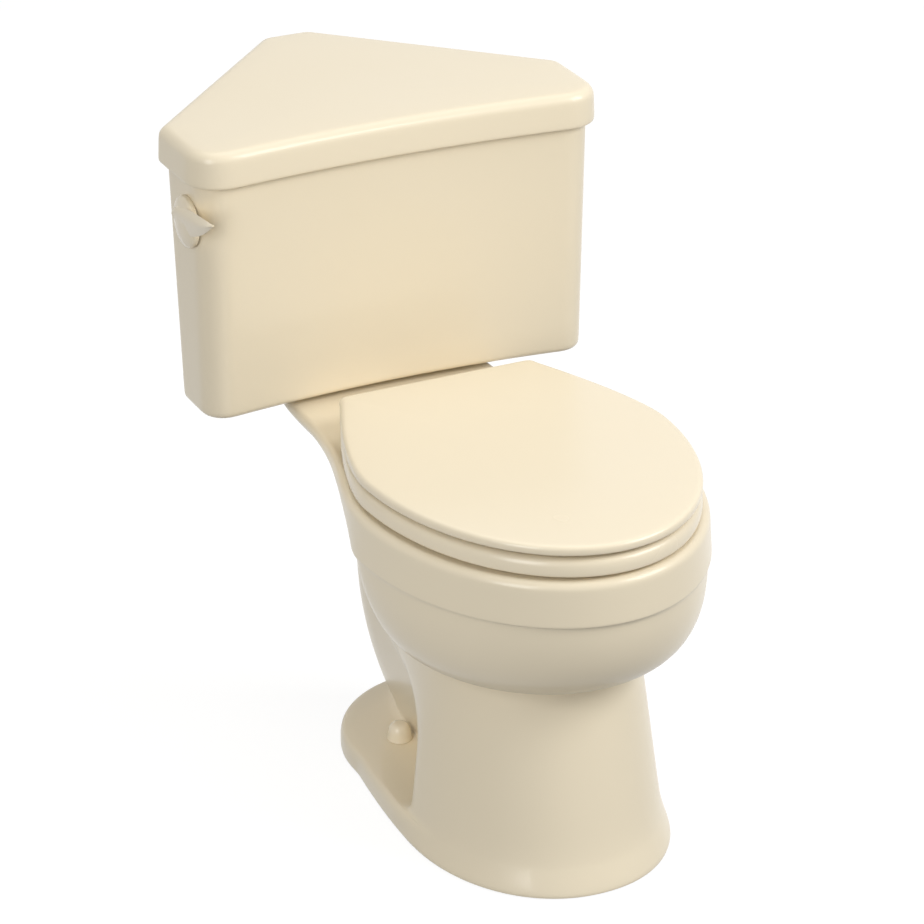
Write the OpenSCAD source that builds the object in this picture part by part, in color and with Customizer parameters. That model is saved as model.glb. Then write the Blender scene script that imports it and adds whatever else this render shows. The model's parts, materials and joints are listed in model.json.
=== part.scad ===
// Two-piece corner toilet: elongated bowl, triangular tank that fits a room corner, seat and flush works.
// The origin is the centre of the waste outlet at floor level. The bowl's front faces -Y,
// the room's corner lies towards +Y, and +Z is up.

/* [Bowl rim and deck] */
// Height of the rim above the floor
rim_h = 391; // [375:1:410]
// From the outlet's centre forward to the rim's front
rim_front = 388; // [370:1:400]
// Width across the plain band below the rim
rim_w = 379; // [364:1:390]
// From the outlet's centre forward to the rim's widest place
rim_mid = 139; // [125:1:150]
// Height of the plain band below the rim
band_h = 50; // [40:1:56]
// How far the band stands proud of the bowl's belly
band_step = 4; // [2:0.5:6]
// How far the deck lies below the rim
deck_drop = 14; // [11:1:16]
// Width of the deck under the tank
deck_w = 254; // [244:1:270]
// From the outlet's centre back to the deck's rear edge
deck_back = 311; // [309:1:313]
// Radius that rounds the rim's and deck's outer edge
rim_edge_r = 9; // [5:1:11]

/* [Bowl inside] */
// Width of the bowl's mouth between the rim's inner edges
mouth_w = 244; // [230:1:252]
// From the outlet's centre forward to the mouth's front edge
mouth_front = 328; // [316:1:336]
// From the outlet's centre forward to the mouth's rear edge
mouth_back = 14; // [8:1:24]
// Depth of the rim's inner wall, below which the flushing channel opens
rim_wall_h = 25; // [20:1:30]
// How far the flushing channel is cut back under the rim
channel_cut = 11; // [6:1:13]
// Height of the sump's floor
sump_z = 66; // [60:1:75]

/* [Trapway and outlet] */
// Inside radius of the trapway and the waste outlet
trap_r = 27; // [24:0.5:28]
// Bend radius of the trapway's return bend
trap_bend = 36; // [34:1:38]
// Height of the return bend's centre
trap_z = 192; // [180:1:196]
// Wall of the outlet horn
horn_t = 11; // [8:1:14]

/* [Pedestal and foot] */
// From the outlet's centre forward to the foot's front
foot_front = 351; // [335:1:360]
// Width of the foot
foot_w = 290; // [280:1:300]
// From the outlet's centre back to the foot's rear end
foot_back = 138; // [134:1:146]
// From the outlet's centre forward to the foot's widest place
foot_mid = 165; // [158:1:175]
// Height of the ledges that take the floor bolts
ledge_h = 28; // [24:1:34]
// Height of the pedestal's waist, where the belly starts
waist_z = 235; // [230:1:242]
// Width of the pedestal at its waist
waist_w = 228; // [222:1:240]
// From the outlet's centre forward to the waist's front
waist_front = 290; // [284:1:300]
// From the outlet's centre forward to the skirt's rear edge
skirt_edge = 147; // [140:1:152]
// Width of the rear column where it stands on the ledges
column_foot_w = 108; // [100:1:112]
// Width of the rear column at the waist
column_w = 214; // [208:1:222]
// From the outlet's centre back to the column's rear
column_back = 124; // [118:1:130]
// Depth of the recess under the foot
recess_h = 15; // [8:1:18]
// Width of the rim of china that the foot stands on
sole_t = 17; // [14:1:20]

/* [Floor bolts] */
// Distance between the two floor bolts
bolt_span = 152.4; // [150:0.1:156]
// Radius of the floor bolt holes
bolt_hole_r = 7; // [6:0.5:8]
// Radius of the bolt caps
cap_r = 14; // [13:0.5:15.5]
// Height of the bolt caps
cap_h = 20; // [18:1:26]

/* [Tank] */
// Gap between the deck and the tank, taken up by the gasket
tank_gap = 7; // [5:1:9]
// Height of the tank without its lid
tank_h = 288; // [276:1:300]
// From the outlet's centre back to the tank's front corners
tank_front = 137; // [135:0.5:140]
// How far the middle of the front face is set back
tank_bow = 17.5; // [12:0.5:20]
// Width of the tank at its foot
tank_w = 464; // [458:1:470]
// How much wider the tank is at its top
tank_flare = 7; // [4:1:10]
// From the outlet's centre back to where the two rear faces would meet
tank_apex = 479; // [474:1:484]
// From the outlet's centre back to the tank's cut-off rear corner
tank_back = 454; // [448:1:458]
// How far the front face runs in towards the tank's foot
tank_lean = 8; // [4:0.5:10]
// How far the two rear faces' corner runs in towards the tank's foot
tank_rear_lean = 22; // [14:1:26]
// Wall of the tank
tank_t = 11; // [9:0.5:12]
// Radius of the two front corners
tank_corner_r = 38; // [32:1:40]
// Radius along the tank's bottom edge
tank_edge_r = 8; // [6:1:11]

/* [Tank lid] */
// How far the lid stands out all round the tank
lid_over = 9.5; // [8:0.5:11]
// Height of the lid's outside
lid_h = 42.5; // [38:0.5:48]
// How far the lid's apron hangs below the tank's rim
apron_h = 12; // [8:0.5:16]
// Wall of the lid
lid_t = 10; // [8:0.5:12]
// Radius that rolls the lid's top into its apron
lid_roll = 13; // [10:1:15]

/* [Seat and cover] */
// Width of the seat cover
seat_w = 358; // [350:1:362]
// From the outlet's centre forward to the cover's front
seat_front = 382; // [374:1:386]
// From the outlet's centre forward to the cover's widest place
seat_mid = 128; // [120:1:134]
// From the outlet's centre back to the cover's rear edge
seat_back = 63; // [60:1:64]
// Width of the cover's rear edge
seat_rear_w = 238; // [230:1:242]
// Thickness of the seat ring
ring_t = 20; // [18:1:22]
// Height of the ring's bumpers above the rim
bumper_h = 4.5; // [3.5:0.5:6]
// Gap between the ring and the cover's lower edge
cover_gap = 4; // [3:0.5:5]
// Height of the cover's edge
cover_t = 11; // [10:0.5:12]
// How far the cover is crowned
cover_crown = 3; // [1:0.5:4]
// Width of the ring's opening
hole_w = 226; // [216:1:232]
// From the outlet's centre forward to the opening's front
hole_front = 322; // [314:1:328]
// From the outlet's centre forward to the opening's rear
hole_back = 28; // [22:1:34]

/* [Seat hinge] */
// Distance between the two seat bolts
hinge_span = 140; // [136:1:144]
// From the outlet's centre back to the hinge pins
hinge_y = 77; // [76:0.5:79]
// Height of the hinge pins above the deck
hinge_up = 30; // [28:0.5:32]
// From the outlet's centre back to the seat bolts
seat_bolt_y = 99; // [97:0.5:102]
// Radius of the hinge pins
pin_r = 4; // [3.5:0.1:4.5]
// Radius of the seat bolts
seat_bolt_r = 5; // [4:0.1:5.5]
// Radius of the seat bolt holes in the deck
seat_hole_r = 7; // [6.5:0.1:8]

/* [Flush valve] */
// From the outlet's centre back to the flush valve
valve_y = 252; // [248:1:256]
// Outside radius of the valve's threaded shank
shank_r = 28; // [26:0.5:29]
// Outside radius of the overflow tube
tube_r = 13; // [12:0.5:13.5]
// From the valve's centre forward to the overflow tube
tube_off = 55; // [54:0.5:56]
// Height of the overflow tube's top above the tank's floor
tube_h = 236; // [215:1:245]
// Radius of the flapper
flapper_r = 34; // [33:0.5:35]
// From the valve's centre forward to the flapper's hinge
flapper_arm = 37; // [36:0.5:38]

/* [Tank bolts] */
// Distance between the two tank bolts
tank_bolt_span = 164; // [160:1:168]
// Radius of the tank bolts
tank_bolt_r = 4; // [3.5:0.1:4.5]
// Radius of the tank bolt holes
tank_hole_r = 7; // [6:0.5:8]

/* [Flush lever] */
// From the outlet's centre back to the lever's pivot
lever_y = 184; // [182:0.5:188]
// Height of the lever's pivot above the tank's foot
lever_up = 227; // [212:1:230]
// Radius of the lever's round boss
boss_r = 30; // [24:0.5:31]
// Reach of the lever from its pivot to its tip
lever_reach = 88; // [76:1:92]
// Radius of the bushing in the tank's wall
bush_r = 9; // [8:0.5:10]
// Radius of the lever's shaft
shaft_r = 4; // [3.5:0.1:4.5]

/* [Fill valve] */
// From the centre line left to the fill valve
fill_x = 100; // [98:1:102]
// From the outlet's centre back to the fill valve
fill_y = 300; // [298:1:302]
// Radius of the water inlet shank
inlet_r = 11; // [10:0.1:11.5]
// Radius of the shank's lower end, which takes the supply hose
inlet_end_r = 10.3; // [9.5:0.1:10.5]
// How far the inlet shank stands out below the tank
inlet_drop = 44; // [40:1:50]
// Height of the fill valve above the tank's floor
fill_h = 246; // [230:1:252]
// Radius of the float cup
float_r = 33; // [30:0.5:34]
// Height of the float cup
float_h = 58; // [50:1:64]

/* [Hidden] */

$fn = 48;
china = [0.93, 0.87, 0.72];
seat_plastic = [0.94, 0.88, 0.74];
white_plastic = [0.93, 0.93, 0.90];
grey_plastic = [0.45, 0.50, 0.56];
red_rubber = [0.62, 0.16, 0.13];
black_rubber = [0.10, 0.10, 0.10];
brass = [0.80, 0.66, 0.36];
steel = [0.74, 0.75, 0.76];
hose_vinyl = [0.75, 0.78, 0.80];

clear = 0.3;          // gap between pieces that rest on each other
run = 0.06;           // running clearance of a pin or shaft in its hole
deck_h = rim_h - deck_drop;
tank_z = deck_h + tank_gap;
tank_floor = tank_z + tank_t + 1;
tank_top = tank_z + tank_h;
ring_z = rim_h + bumper_h;
ring_top = ring_z + ring_t;
cover_z = ring_top + cover_gap;
hinge_z = deck_h + hinge_up;
lever_z = tank_z + lever_up;

// ---------------------------------------------------------------- helpers

function lerp(a, b, t) = a + (b - a) * t;
function smooth(t) = let (u = max(0, min(1, t))) u * u * (3 - 2 * u);
function drop(t, p) = 1 - pow(1 - t, p);

// A quarter of a superellipse with half axes a and b, from its tip on the Y axis to its side
function quarter(a, b, p, steps, first) =
  [for (k = [first : steps]) let (t = 90 * k / steps) [a * pow(sin(t), 2 / p), b * pow(cos(t), 2 / p)]];

// A full ring from its right half, which runs from the front centre to the rear centre
function both(half) = concat(half, [for (k = [len(half) - 2 : -1 : 1]) [-half[k][0], half[k][1]]]);
function at(pts, z) = [for (p = pts) [p[0], p[1], z]];

// A closed skin through rings that have the same number of points
module skin(rings) {
  n = len(rings[0]);
  m = len(rings);
  polyhedron(
    points = [for (r = rings) for (p = r) p],
    faces = concat(
      [[for (i = [0 : n - 1]) i]],
      [for (k = [0 : m - 2]) for (i = [0 : n - 1])
        let (j = (i + 1) % n) [k * n + i, (k + 1) * n + i, (k + 1) * n + j]],
      [for (k = [0 : m - 2]) for (i = [0 : n - 1])
        let (j = (i + 1) % n) [k * n + i, (k + 1) * n + j, k * n + j]],
      [[for (i = [n - 1 : -1 : 0]) (m - 1) * n + i]]),
    convexity = 10);
}

// A flat ring or washer
module washer(r_out, r_in, h) {
  difference() {
    cylinder(r = r_out, h = h);
    translate([0, 0, -1]) cylinder(r = r_in, h = h + 2);
  }
}

// A six-sided nut with a round hole
module hex_nut(across, r_in, h) {
  difference() {
    cylinder(r = across / 2 / cos(30), h = h, $fn = 6);
    translate([0, 0, -1]) cylinder(r = r_in, h = h + 2);
  }
}

module pair(span) {
  for (s = [-1, 1]) translate([s * span / 2, 0, 0]) children();
}

// ---------------------------------------------------------------- bowl

front_steps = 12;     // points round the front quarter of an outline
flank_steps = 3;      // points along the flank
turn_steps = 4;       // points round the skirt's rear edge
tail_steps = 2;       // points along the column's side
back_steps = 8;       // points round the rear quarter
belly_steps = 7;      // rings down the belly
belly_h = rim_h - band_h - waist_z;
deck_p = 2.4;         // exponent of the deck's rear outline

// Right half of the bowl's outline at one height. The front is a superellipse that is widest at mid,
// the flank runs back to the skirt's edge, and the tail ends in a rounded back.
// pocket = 1 turns sharply in behind the skirt's edge, pocket = 0 runs smoothly into the tail.
function outline(front, w, mid, p, tail_w, tail_y, back, pocket, inset = 0, rear_p = 2) =
  pocket == 0 || pocket == 1 ? plain_outline(front, w, mid, p, tail_w, tail_y, back, pocket, inset, rear_p)
  : let (a = plain_outline(front, w, mid, p, tail_w, tail_y, back, 0, inset, rear_p),
         b = plain_outline(front, w, mid, p, tail_w, tail_y, back, 1, inset, rear_p))
    [for (k = [0 : len(a) - 1]) lerp(a[k], b[k], pocket)];

function plain_outline(front, w, mid, p, tail_w, tail_y, back, pocket, inset, rear_p) =
  let (fw = w - inset, tw = tail_w - inset, edge_y = -skirt_edge + inset * pocket,
       nose = quarter(fw, front - mid - inset, p, front_steps, 0),
       turn_r = 9 * pocket,
       side = pocket == 1
         ? concat(
             [for (k = [1 : flank_steps]) let (t = k / flank_steps)
               [fw - 3 * t * t, lerp(-mid, edge_y, t)]],
             [[fw - 6, edge_y + 3], [lerp(fw, tw, 0.5), edge_y + 4],
              [tw + turn_r, edge_y + 5], [tw, edge_y + 5 + turn_r]])
         : [for (k = [1 : flank_steps + turn_steps]) let (t = k / (flank_steps + turn_steps))
             [lerp(fw, tw, smooth(pow(t, 0.9))), lerp(-mid, tail_y - 20, t)]],
       last = side[len(side) - 1],
       tail = [for (k = [1 : tail_steps]) [tw, lerp(last[1], tail_y, k / tail_steps)]],
       rear = [for (q = quarter(tw, back - tail_y - inset, rear_p, back_steps, 0)) [q[0], tail_y + q[1]]],
       rear_half = [for (k = [back_steps - 1 : -1 : 0]) rear[k]])
  concat([for (q = nose) [q[0], -mid - q[1]]], side, tail, rear_half);

// Right half of an oval with as many points as an outline
function oval(front, w, mid, back, p = 2, spread = 1) =
  let (rest = flank_steps + turn_steps + tail_steps + back_steps,
       nose = quarter(w, front - mid, p, front_steps, 0))
  concat([for (q = nose) [q[0], -mid - q[1]]],
    [for (k = [1 : rest]) let (a = 90 * pow(k / rest, spread)) [w * cos(a), -mid + (mid + back) * sin(a)]]);

// Share of the rim's extra height along an outline: the front has all of it, the deck none
function rise(k) = 1 - smooth((k - front_steps - 2) / (flank_steps + turn_steps - 3));
function stepped(half, low, high) = [for (k = [0 : len(half) - 1]) [half[k][0], half[k][1], lerp(low, high, rise(k))]];
function both3(half) = concat(half, [for (k = [len(half) - 2 : -1 : 1]) [-half[k][0], half[k][1], half[k][2]]]);

// Foot, at a height z and an inset from its full size
function foot_ring(z, inset) =
  at(both(outline(foot_front, foot_w / 2, foot_mid, 2.1, foot_w / 2 - 15, 8, foot_back, 0, inset)), z);

// Skirt and column between the ledges and the waist
flare = 7;            // how far the foot flares out below the skirt
function skirt_ring(z) =
  let (u = (z - ledge_h) / (waist_z - ledge_h))
  at(both(outline(
    lerp(foot_front - 2 * flare, waist_front, u), lerp(foot_w / 2 - flare - 3, waist_w / 2, u),
    foot_mid, lerp(2.1, 2, u), lerp(column_foot_w / 2, column_w / 2, drop(u, 1.9)),
    lerp(10, 20, u), column_back, 1 - smooth((u - 0.6) / 0.4))), z);

// Belly between the waist and the band, a rounded bulge that hangs over the pedestal
function belly_ring(u) =
  let (out = sqrt(1 - pow(1 - u, 2)), z = waist_z + belly_h * u)
  at(both(outline(
    lerp(waist_front, rim_front - band_step, out), lerp(waist_w / 2, rim_w / 2 - band_step, out),
    lerp(foot_mid, rim_mid, u), 2, lerp(column_w / 2, deck_w / 2 - 28, u),
    lerp(20, 70, u), lerp(column_back, deck_back - 96, u * u), 0)), z);

// Band and deck edge above the belly, t = 0 at the band's foot and 1 below the rounded edge
function band_ring(t) =
  stepped(outline(rim_front - 2 * t, rim_w / 2 - 3 * t, rim_mid, 2,
    deck_w / 2 - 24 * pow(1 - t, 1.5), lerp(80, 155, drop(t, 1.6)), lerp(deck_back - 82, deck_back, drop(t, 1.6)), 0, 0, lerp(2, deck_p, t)),
    lerp(rim_h - band_h, deck_h - rim_edge_r, t), lerp(rim_h - band_h, rim_h - rim_edge_r, t));

// Rounded outer edge, a quarter turn in four steps
function edge_ring(a) =
  stepped(outline(rim_front - 2, rim_w / 2 - 3, rim_mid, 2, deck_w / 2, 155, deck_back, 0, rim_edge_r * (1 - cos(a)), deck_p),
    deck_h - rim_edge_r * (1 - sin(a)), rim_h - rim_edge_r * (1 - sin(a)));

// The raised rim's footprint on the deck
rim_back = 46;
function rim_top(inset, low) =
  let (out = outline(rim_front - 2, rim_w / 2 - 3, rim_mid, 2, deck_w / 2, 155, deck_back, 0, rim_edge_r + inset, deck_p),
       ov = oval(rim_front - 2 - rim_edge_r - inset, rim_w / 2 - 3 - rim_edge_r - inset, rim_mid, rim_back - inset, 2, 0.62))
  [for (k = [0 : len(out) - 1]) let (s = rise(k))
    [lerp(ov[k][0], out[k][0], s), lerp(ov[k][1], out[k][1], s), lerp(low, rim_h, s)]];

// Inside of the bowl from the mouth's edge down to the sump: [height, front, half width, rear]
inside = [
  [rim_h, mouth_front + 7, mouth_w / 2 + 7, -mouth_back + 7],
  [rim_h - 2, mouth_front + 2, mouth_w / 2 + 2, -mouth_back + 2],
  [rim_h - 7, mouth_front, mouth_w / 2, -mouth_back],
  [rim_h - rim_wall_h, mouth_front, mouth_w / 2, -mouth_back],
  [rim_h - rim_wall_h - 3, mouth_front + channel_cut, mouth_w / 2 + channel_cut, -mouth_back + channel_cut],
  [rim_h - rim_wall_h - 26, mouth_front + channel_cut + 2, mouth_w / 2 + channel_cut + 2, -mouth_back],
  [lerp(waist_z, rim_h, 0.40), mouth_front - 2, mouth_w / 2 + 2, -44],
  [lerp(waist_z, rim_h, 0.12), mouth_front - 30, mouth_w / 2 - 18, -78],
  [lerp(sump_z, waist_z, 0.78), mouth_front - 62, mouth_w / 2 - 46, -104],
  [lerp(sump_z, waist_z, 0.50), mouth_front - 92, mouth_w / 2 - 70, -113],
  [lerp(sump_z, waist_z, 0.26), mouth_front - 112, mouth_w / 2 - 84, -120],
  [lerp(sump_z, waist_z, 0.08), mouth_front - 126, mouth_w / 2 - 94, -130],
  [sump_z, mouth_front - 146, mouth_w / 2 - 108, -150]];
function inside_ring(row) = at(both(oval(row[1], row[2], lerp((row[1] - row[3]) / 2, rim_mid + 20, 0.5), row[3], 2.1)), row[0]);

module bowl_body() {
  skin(concat(
    [foot_ring(recess_h, sole_t + 6), foot_ring(recess_h - 5, sole_t + 1), foot_ring(0, sole_t), foot_ring(0, 3),
     foot_ring(3, 0), foot_ring(ledge_h * 0.55, 0), foot_ring(ledge_h - 3, 5), foot_ring(ledge_h, 8)],
    [for (z = [ledge_h, ledge_h + 10, lerp(ledge_h, waist_z, 0.2), lerp(ledge_h, waist_z, 0.42),
               lerp(ledge_h, waist_z, 0.64), lerp(ledge_h, waist_z, 0.82)]) skirt_ring(z)],
    [for (k = [0 : belly_steps]) belly_ring(1 - cos(90 * k / belly_steps))],
    [for (t = [0, 0.12, 0.4, 0.7, 1]) both3(band_ring(t))],
    [for (a = [30, 60, 90]) both3(edge_ring(a))],
    [both3(rim_top(1, deck_h)), both3(rim_top(5, rim_h))],
    [for (row = inside) inside_ring(row)]));
}

// The water's way out: from the sump back, up, over the return bend and down to the floor
elbow_r = trap_r + 8;
leg_y = -2 * trap_bend;
passage_z = sump_z + trap_r + 1;
module trapway() {
  translate([0, -150, passage_z]) rotate([-90, 0, 0]) cylinder(r = trap_r, h = leg_y - elbow_r + 150);
  translate([0, leg_y - elbow_r, passage_z + elbow_r]) rotate([0, 90, 0]) rotate([0, 0, 0])
    rotate_extrude(angle = 90) translate([elbow_r, 0]) circle(r = trap_r);
  translate([0, leg_y, passage_z + elbow_r]) cylinder(r = trap_r, h = trap_z - passage_z - elbow_r);
  translate([0, -trap_bend, trap_z]) rotate([90, 0, 90]) rotate_extrude(angle = 180)
    translate([trap_bend, 0]) circle(r = trap_r);
  translate([0, 0, -1]) cylinder(r = trap_r, h = trap_z + 1);
}

inlet_depth = 60;      // depth of the flush water's inlet below the deck
gasket_sink = 18;      // depth of the gasket's seat in the deck
seat_pocket_top = deck_h - 22;
seat_pocket_h = 56;    // height of the pocket round each seat bolt nut
seat_pocket_in = 22;   // from a seat bolt to its pocket's inner wall
seat_pocket_out = 16;  // from a seat bolt to its pocket's outer wall
module bowl() {
  color(china) difference() {
    union() {
      bowl_body();
      cylinder(r = trap_r + horn_t, h = recess_h + 3);
    }
    trapway();
    pair(bolt_span) translate([0, 0, -1]) cylinder(r = bolt_hole_r, h = ledge_h + 2);
    // inlet for the flush water, with a seat for the gasket, and its channel to the rim
    translate([0, valve_y, deck_h - inlet_depth]) cylinder(r = shank_r + 3, h = inlet_depth + 1);
    translate([0, valve_y, deck_h - gasket_sink]) cylinder(r = gasket_r + 3, h = gasket_sink + 1);
    translate([0, -mouth_back - 6, deck_h - inlet_depth + 20]) rotate([-90, 0, 0]) cylinder(r = 15, h = valve_y + mouth_back);
    // holes for the seat bolts, each with a pocket below the deck that opens at the rear
    pair(hinge_span) translate([0, seat_bolt_y, seat_pocket_top - 2]) cylinder(r = seat_hole_r, h = 30);
    for (s = [-1, 1])
      translate([s * hinge_span / 2 - (s > 0 ? seat_pocket_in : seat_pocket_out), seat_bolt_y - 24, seat_pocket_top - seat_pocket_h])
        cube([seat_pocket_in + seat_pocket_out, deck_back, seat_pocket_h]);
    // holes for the tank bolts, faced flat from below
    pair(tank_bolt_span) translate([0, valve_y, deck_h - 60]) cylinder(r = tank_hole_r, h = 61);
    pair(tank_bolt_span) translate([0, valve_y, deck_h - 80]) cylinder(r = 15, h = 60);
  }
}

// ---------------------------------------------------------------- floor bolt caps

module bolt_cap_bases() {
  color(white_plastic) pair(bolt_span) translate([0, 0, ledge_h + clear]) {
    washer(cap_r - 2.4, bolt_hole_r + 0.5, 2);
    washer(bolt_hole_r + 2.5, bolt_hole_r + 0.5, 6);
  }
}

module bolt_caps() {
  color(china) pair(bolt_span) translate([0, 0, ledge_h + clear]) rotate_extrude() polygon(concat(
    [[cap_r - 2, 0], [cap_r, 0]],
    [for (a = [0 : 10 : 90]) [cap_r * 0.93 * pow(cos(a), 0.55), cap_h * 0.35 + cap_h * 0.65 * sin(a)]],
    [for (a = [90 : -15 : 0]) [(cap_r * 0.93 - 2) * pow(cos(a), 0.55), cap_h * 0.35 + (cap_h * 0.65 - 2) * sin(a)]]));
}

// ---------------------------------------------------------------- tank

// An arc that rounds the corner b between the points a and c, in steps
function rounded(a, b, c, r, steps) =
  let (u = (a - b) / norm(a - b), v = (c - b) / norm(c - b), half = acos(u * v) / 2,
       reach = r / tan(half), p = b + u * reach, q = b + v * reach,
       o = b + (u + v) / norm(u + v) * (r / sin(half)),
       a0 = atan2(p[1] - o[1], p[0] - o[0]), a1 = atan2(q[1] - o[1], q[0] - o[0]),
       turn = a1 - a0 < -180 ? a1 - a0 + 360 : a1 - a0 > 180 ? a1 - a0 - 360 : a1 - a0)
  [for (k = [0 : steps]) o + r * [cos(a0 + turn * k / steps), sin(a0 + turn * k / steps)]];

// Plan of the triangular tank and its lid: bowed front, two short ends, two faces at 45 degrees that
// fit the room's corner, and a cut-off rear corner
bow_steps = 9;
function corner_plan(w, front, apex, back, bow, r, r_end, r_back) =
  let (end = apex - w, cut = apex - back,
       fr = [w, front], er = [w, end], br = [cut, back], mid = [0, front],
       half = concat(
         [for (k = [0 : bow_steps]) [(w - r) * k / (bow_steps + 1), front]],
         rounded(mid, fr, er, r, 5), rounded(fr, er, br, r_end, 2), rounded(er, br, [0, back], r_back, 2),
         [[0, back]]),
       bowed = [for (p = half) [p[0], p[1] + bow * (1 - pow(p[0] / w, 2)) * max(0, 1 - (p[1] - front) / (end - front))]])
  both(bowed);

function tank_ring(z, inset) =
  let (t = (z - tank_z) / tank_h, w = tank_w / 2 + tank_flare / 2 * t)
  at(corner_plan(w - inset, tank_front + tank_lean * (1 - t) + inset, tank_apex - tank_rear_lean * (1 - t) - inset * sqrt(2),
    tank_back - tank_rear_lean * (1 - t) - inset, tank_bow, max(4, tank_corner_r - 6 * (1 - t) - inset),
    max(3, 15 - inset / 2), max(3, 14 - inset / 2)), z);

module tank() {
  r = tank_edge_r;
  ri = tank_edge_r - 3;
  color(china) difference() {
    skin(concat(
      [tank_ring(tank_z, r)],
      [for (a = [22.5, 45, 67.5, 90]) tank_ring(tank_z + r * (1 - cos(a)), r * (1 - sin(a)))],
      [tank_ring(tank_top - 3, 0), tank_ring(tank_top - 1, 1), tank_ring(tank_top, 3),
       tank_ring(tank_top, tank_t - 3), tank_ring(tank_top - 1, tank_t - 1), tank_ring(tank_top - 3, tank_t)],
      [for (a = [90, 60, 30, 0]) tank_ring(tank_floor + ri * (1 - cos(a)), tank_t + ri * (1 - sin(a)))]));
    translate([0, valve_y, tank_z - 1]) cylinder(r = shank_r + 3, h = 2 * tank_t + 4);
    pair(tank_bolt_span) translate([0, valve_y, tank_z - 1]) cylinder(r = tank_hole_r, h = 2 * tank_t + 4);
    translate([-fill_x, fill_y, tank_z - 1]) cylinder(r = inlet_r + 2, h = 2 * tank_t + 4);
    translate([-tank_w / 2 - 20, lever_y, lever_z]) rotate([0, 90, 0]) cylinder(r = bush_r + 0.8, h = 60);
  }
}

// Lid: an apron that hangs over the tank's rim, and a rolled and slightly crowned top
lid_z = tank_top - apron_h;
lid_top = lid_z + lid_h;
lid_gap = 2;          // gap between the apron's inside and the tank
lid_corner_r = 47;
lid_c = [0, 250];     // point on the lid's top that its crown runs up to
function shrunk(ring, f, c, z) = [for (p = ring) [lerp(c[0], p[0], f), lerp(c[1], p[1], f), z]];
function lid_ring(z, inset) =
  let (o = lid_over)
  at(corner_plan(tank_w / 2 + tank_flare / 2 + o - inset, tank_front - o + inset, tank_apex + (o - inset) * sqrt(2),
    tank_back + o - inset, tank_bow, max(5, lid_corner_r - inset), max(4, 18 - inset / 2), max(4, 18 - inset / 2)), z);

module tank_lid() {
  r = lid_roll;
  seat = tank_top + clear;
  roof = lid_top - lid_t;
  color(china) skin(concat(
    [lid_ring(roof, tank_t + lid_over + 18), lid_ring(roof - 5, tank_t + lid_over + 8), lid_ring(seat, tank_t + lid_over + 6),
     lid_ring(seat, lid_over - lid_gap), lid_ring(lid_z + 1.5, lid_over - lid_gap - 0.5), lid_ring(lid_z, lid_over - lid_gap - 2),
     lid_ring(lid_z, 2), lid_ring(lid_z + 2, 0), lid_ring(lid_top - r - 2, 1)],
    [for (a = [18, 36, 54, 72, 90]) lid_ring(lid_top - 2 - r * (1 - sin(a)), 1 + r * (1 - cos(a)))],
    [lid_ring(lid_top - 0.8, 40)],
    [for (f = [0.7, 0.35]) shrunk(lid_ring(0, 40), f, lid_c, lid_top - 0.8 * f)]));
}

// ---------------------------------------------------------------- tank to bowl

gasket_r = 46;
gasket_hole_r = shank_r + 13.5;
nut_h = 11;
module tank_gasket() {
  color(black_rubber) translate([0, valve_y, deck_h - gasket_sink + clear])
    washer(gasket_r, gasket_hole_r, tank_gap + gasket_sink - 2 * clear);
}

module tank_bolts() {
  color(brass) pair(tank_bolt_span) translate([0, valve_y, 0]) {
    translate([0, 0, tank_floor + 4 + 2 * clear]) cylinder(r = 9, h = 3.5);
    translate([0, 0, deck_h - 46]) cylinder(r = tank_bolt_r, h = tank_floor + 5 - deck_h + 46);
  }
}

module tank_bolt_seals() {
  color(black_rubber) pair(tank_bolt_span) translate([0, valve_y, tank_floor + clear]) washer(12, tank_bolt_r + 0.2, 4);
}

module tank_bolt_washers() {
  color(brass) pair(tank_bolt_span) translate([0, valve_y, deck_h - 20 - 2 - clear]) washer(12, tank_bolt_r + 0.3, 2);
}

module tank_bolt_nuts() {
  color(brass) pair(tank_bolt_span) translate([0, valve_y, deck_h - 22 - 7 - 2 * clear])
    hex_nut(15, tank_bolt_r + 0.1, 7);
}

// ---------------------------------------------------------------- seat

// Right half of the seat's outline: an elongated oval front and a narrowing rear with rounded corners
seat_steps = 12;
function seat_half(inset) =
  let (w = seat_w / 2 - inset, rw = seat_rear_w / 2 - inset, back = seat_back - inset, cr = 9,
       nose = quarter(w, seat_front - seat_mid - inset, 2, seat_steps, 0),
       flank = [for (k = [1 : 7]) let (t = k / 7) [lerp(w, rw, pow(t, 1.43)), lerp(-seat_mid, back - cr, t)]],
       turn = [for (k = [1 : 4]) let (a = 90 * k / 4) [rw - cr * (1 - cos(a)), back - cr * (1 - sin(a))]])
  concat([for (q = nose) [q[0], -seat_mid - q[1]]], flank, turn, [[(rw - cr) / 2, back], [0, back]]);

// Right half of the ring's opening, with as many points
function hole_half(inset) =
  let (w = hole_w / 2 + inset, mid = (hole_front + hole_back) / 2 - 8, count = 13,
       nose = quarter(w, hole_front + inset - mid, 2.1, seat_steps, 0),
       rear = quarter(w, mid - hole_back + inset, 2.1, count, 0))
  concat([for (q = nose) [q[0], -mid - q[1]]], [for (k = [count - 1 : -1 : 0]) [rear[k][0], -mid + rear[k][1]]]);

// The ring's section from its outer foot over the crown to its inner foot: [share across, height]
ring_section = [[0, 0, 2], [0, 3, 0], [0, 10, 0], [0, 15, 1.5], [0, 18.2, 4], [0, 19.6, 8], [0.35, 20, 0], [0.7, 19, 0],
  [1, 17, 5], [1, 14, 1.6], [1, 9, 0], [1, 3, 0.5], [1, 0, 3]];
function ring_row(s, flip = 1) =
  let (o = seat_half(s[0] < 0.5 ? s[2] : 0), h = hole_half(s[0] >= 0.5 ? s[2] : 0),
       half = [for (k = [0 : len(o) - 1]) [lerp(o[k][0], h[k][0], s[0]), lerp(o[k][1], h[k][1], s[0])]])
  at(both(half), ring_z + s[1] * ring_t / 20);

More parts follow.
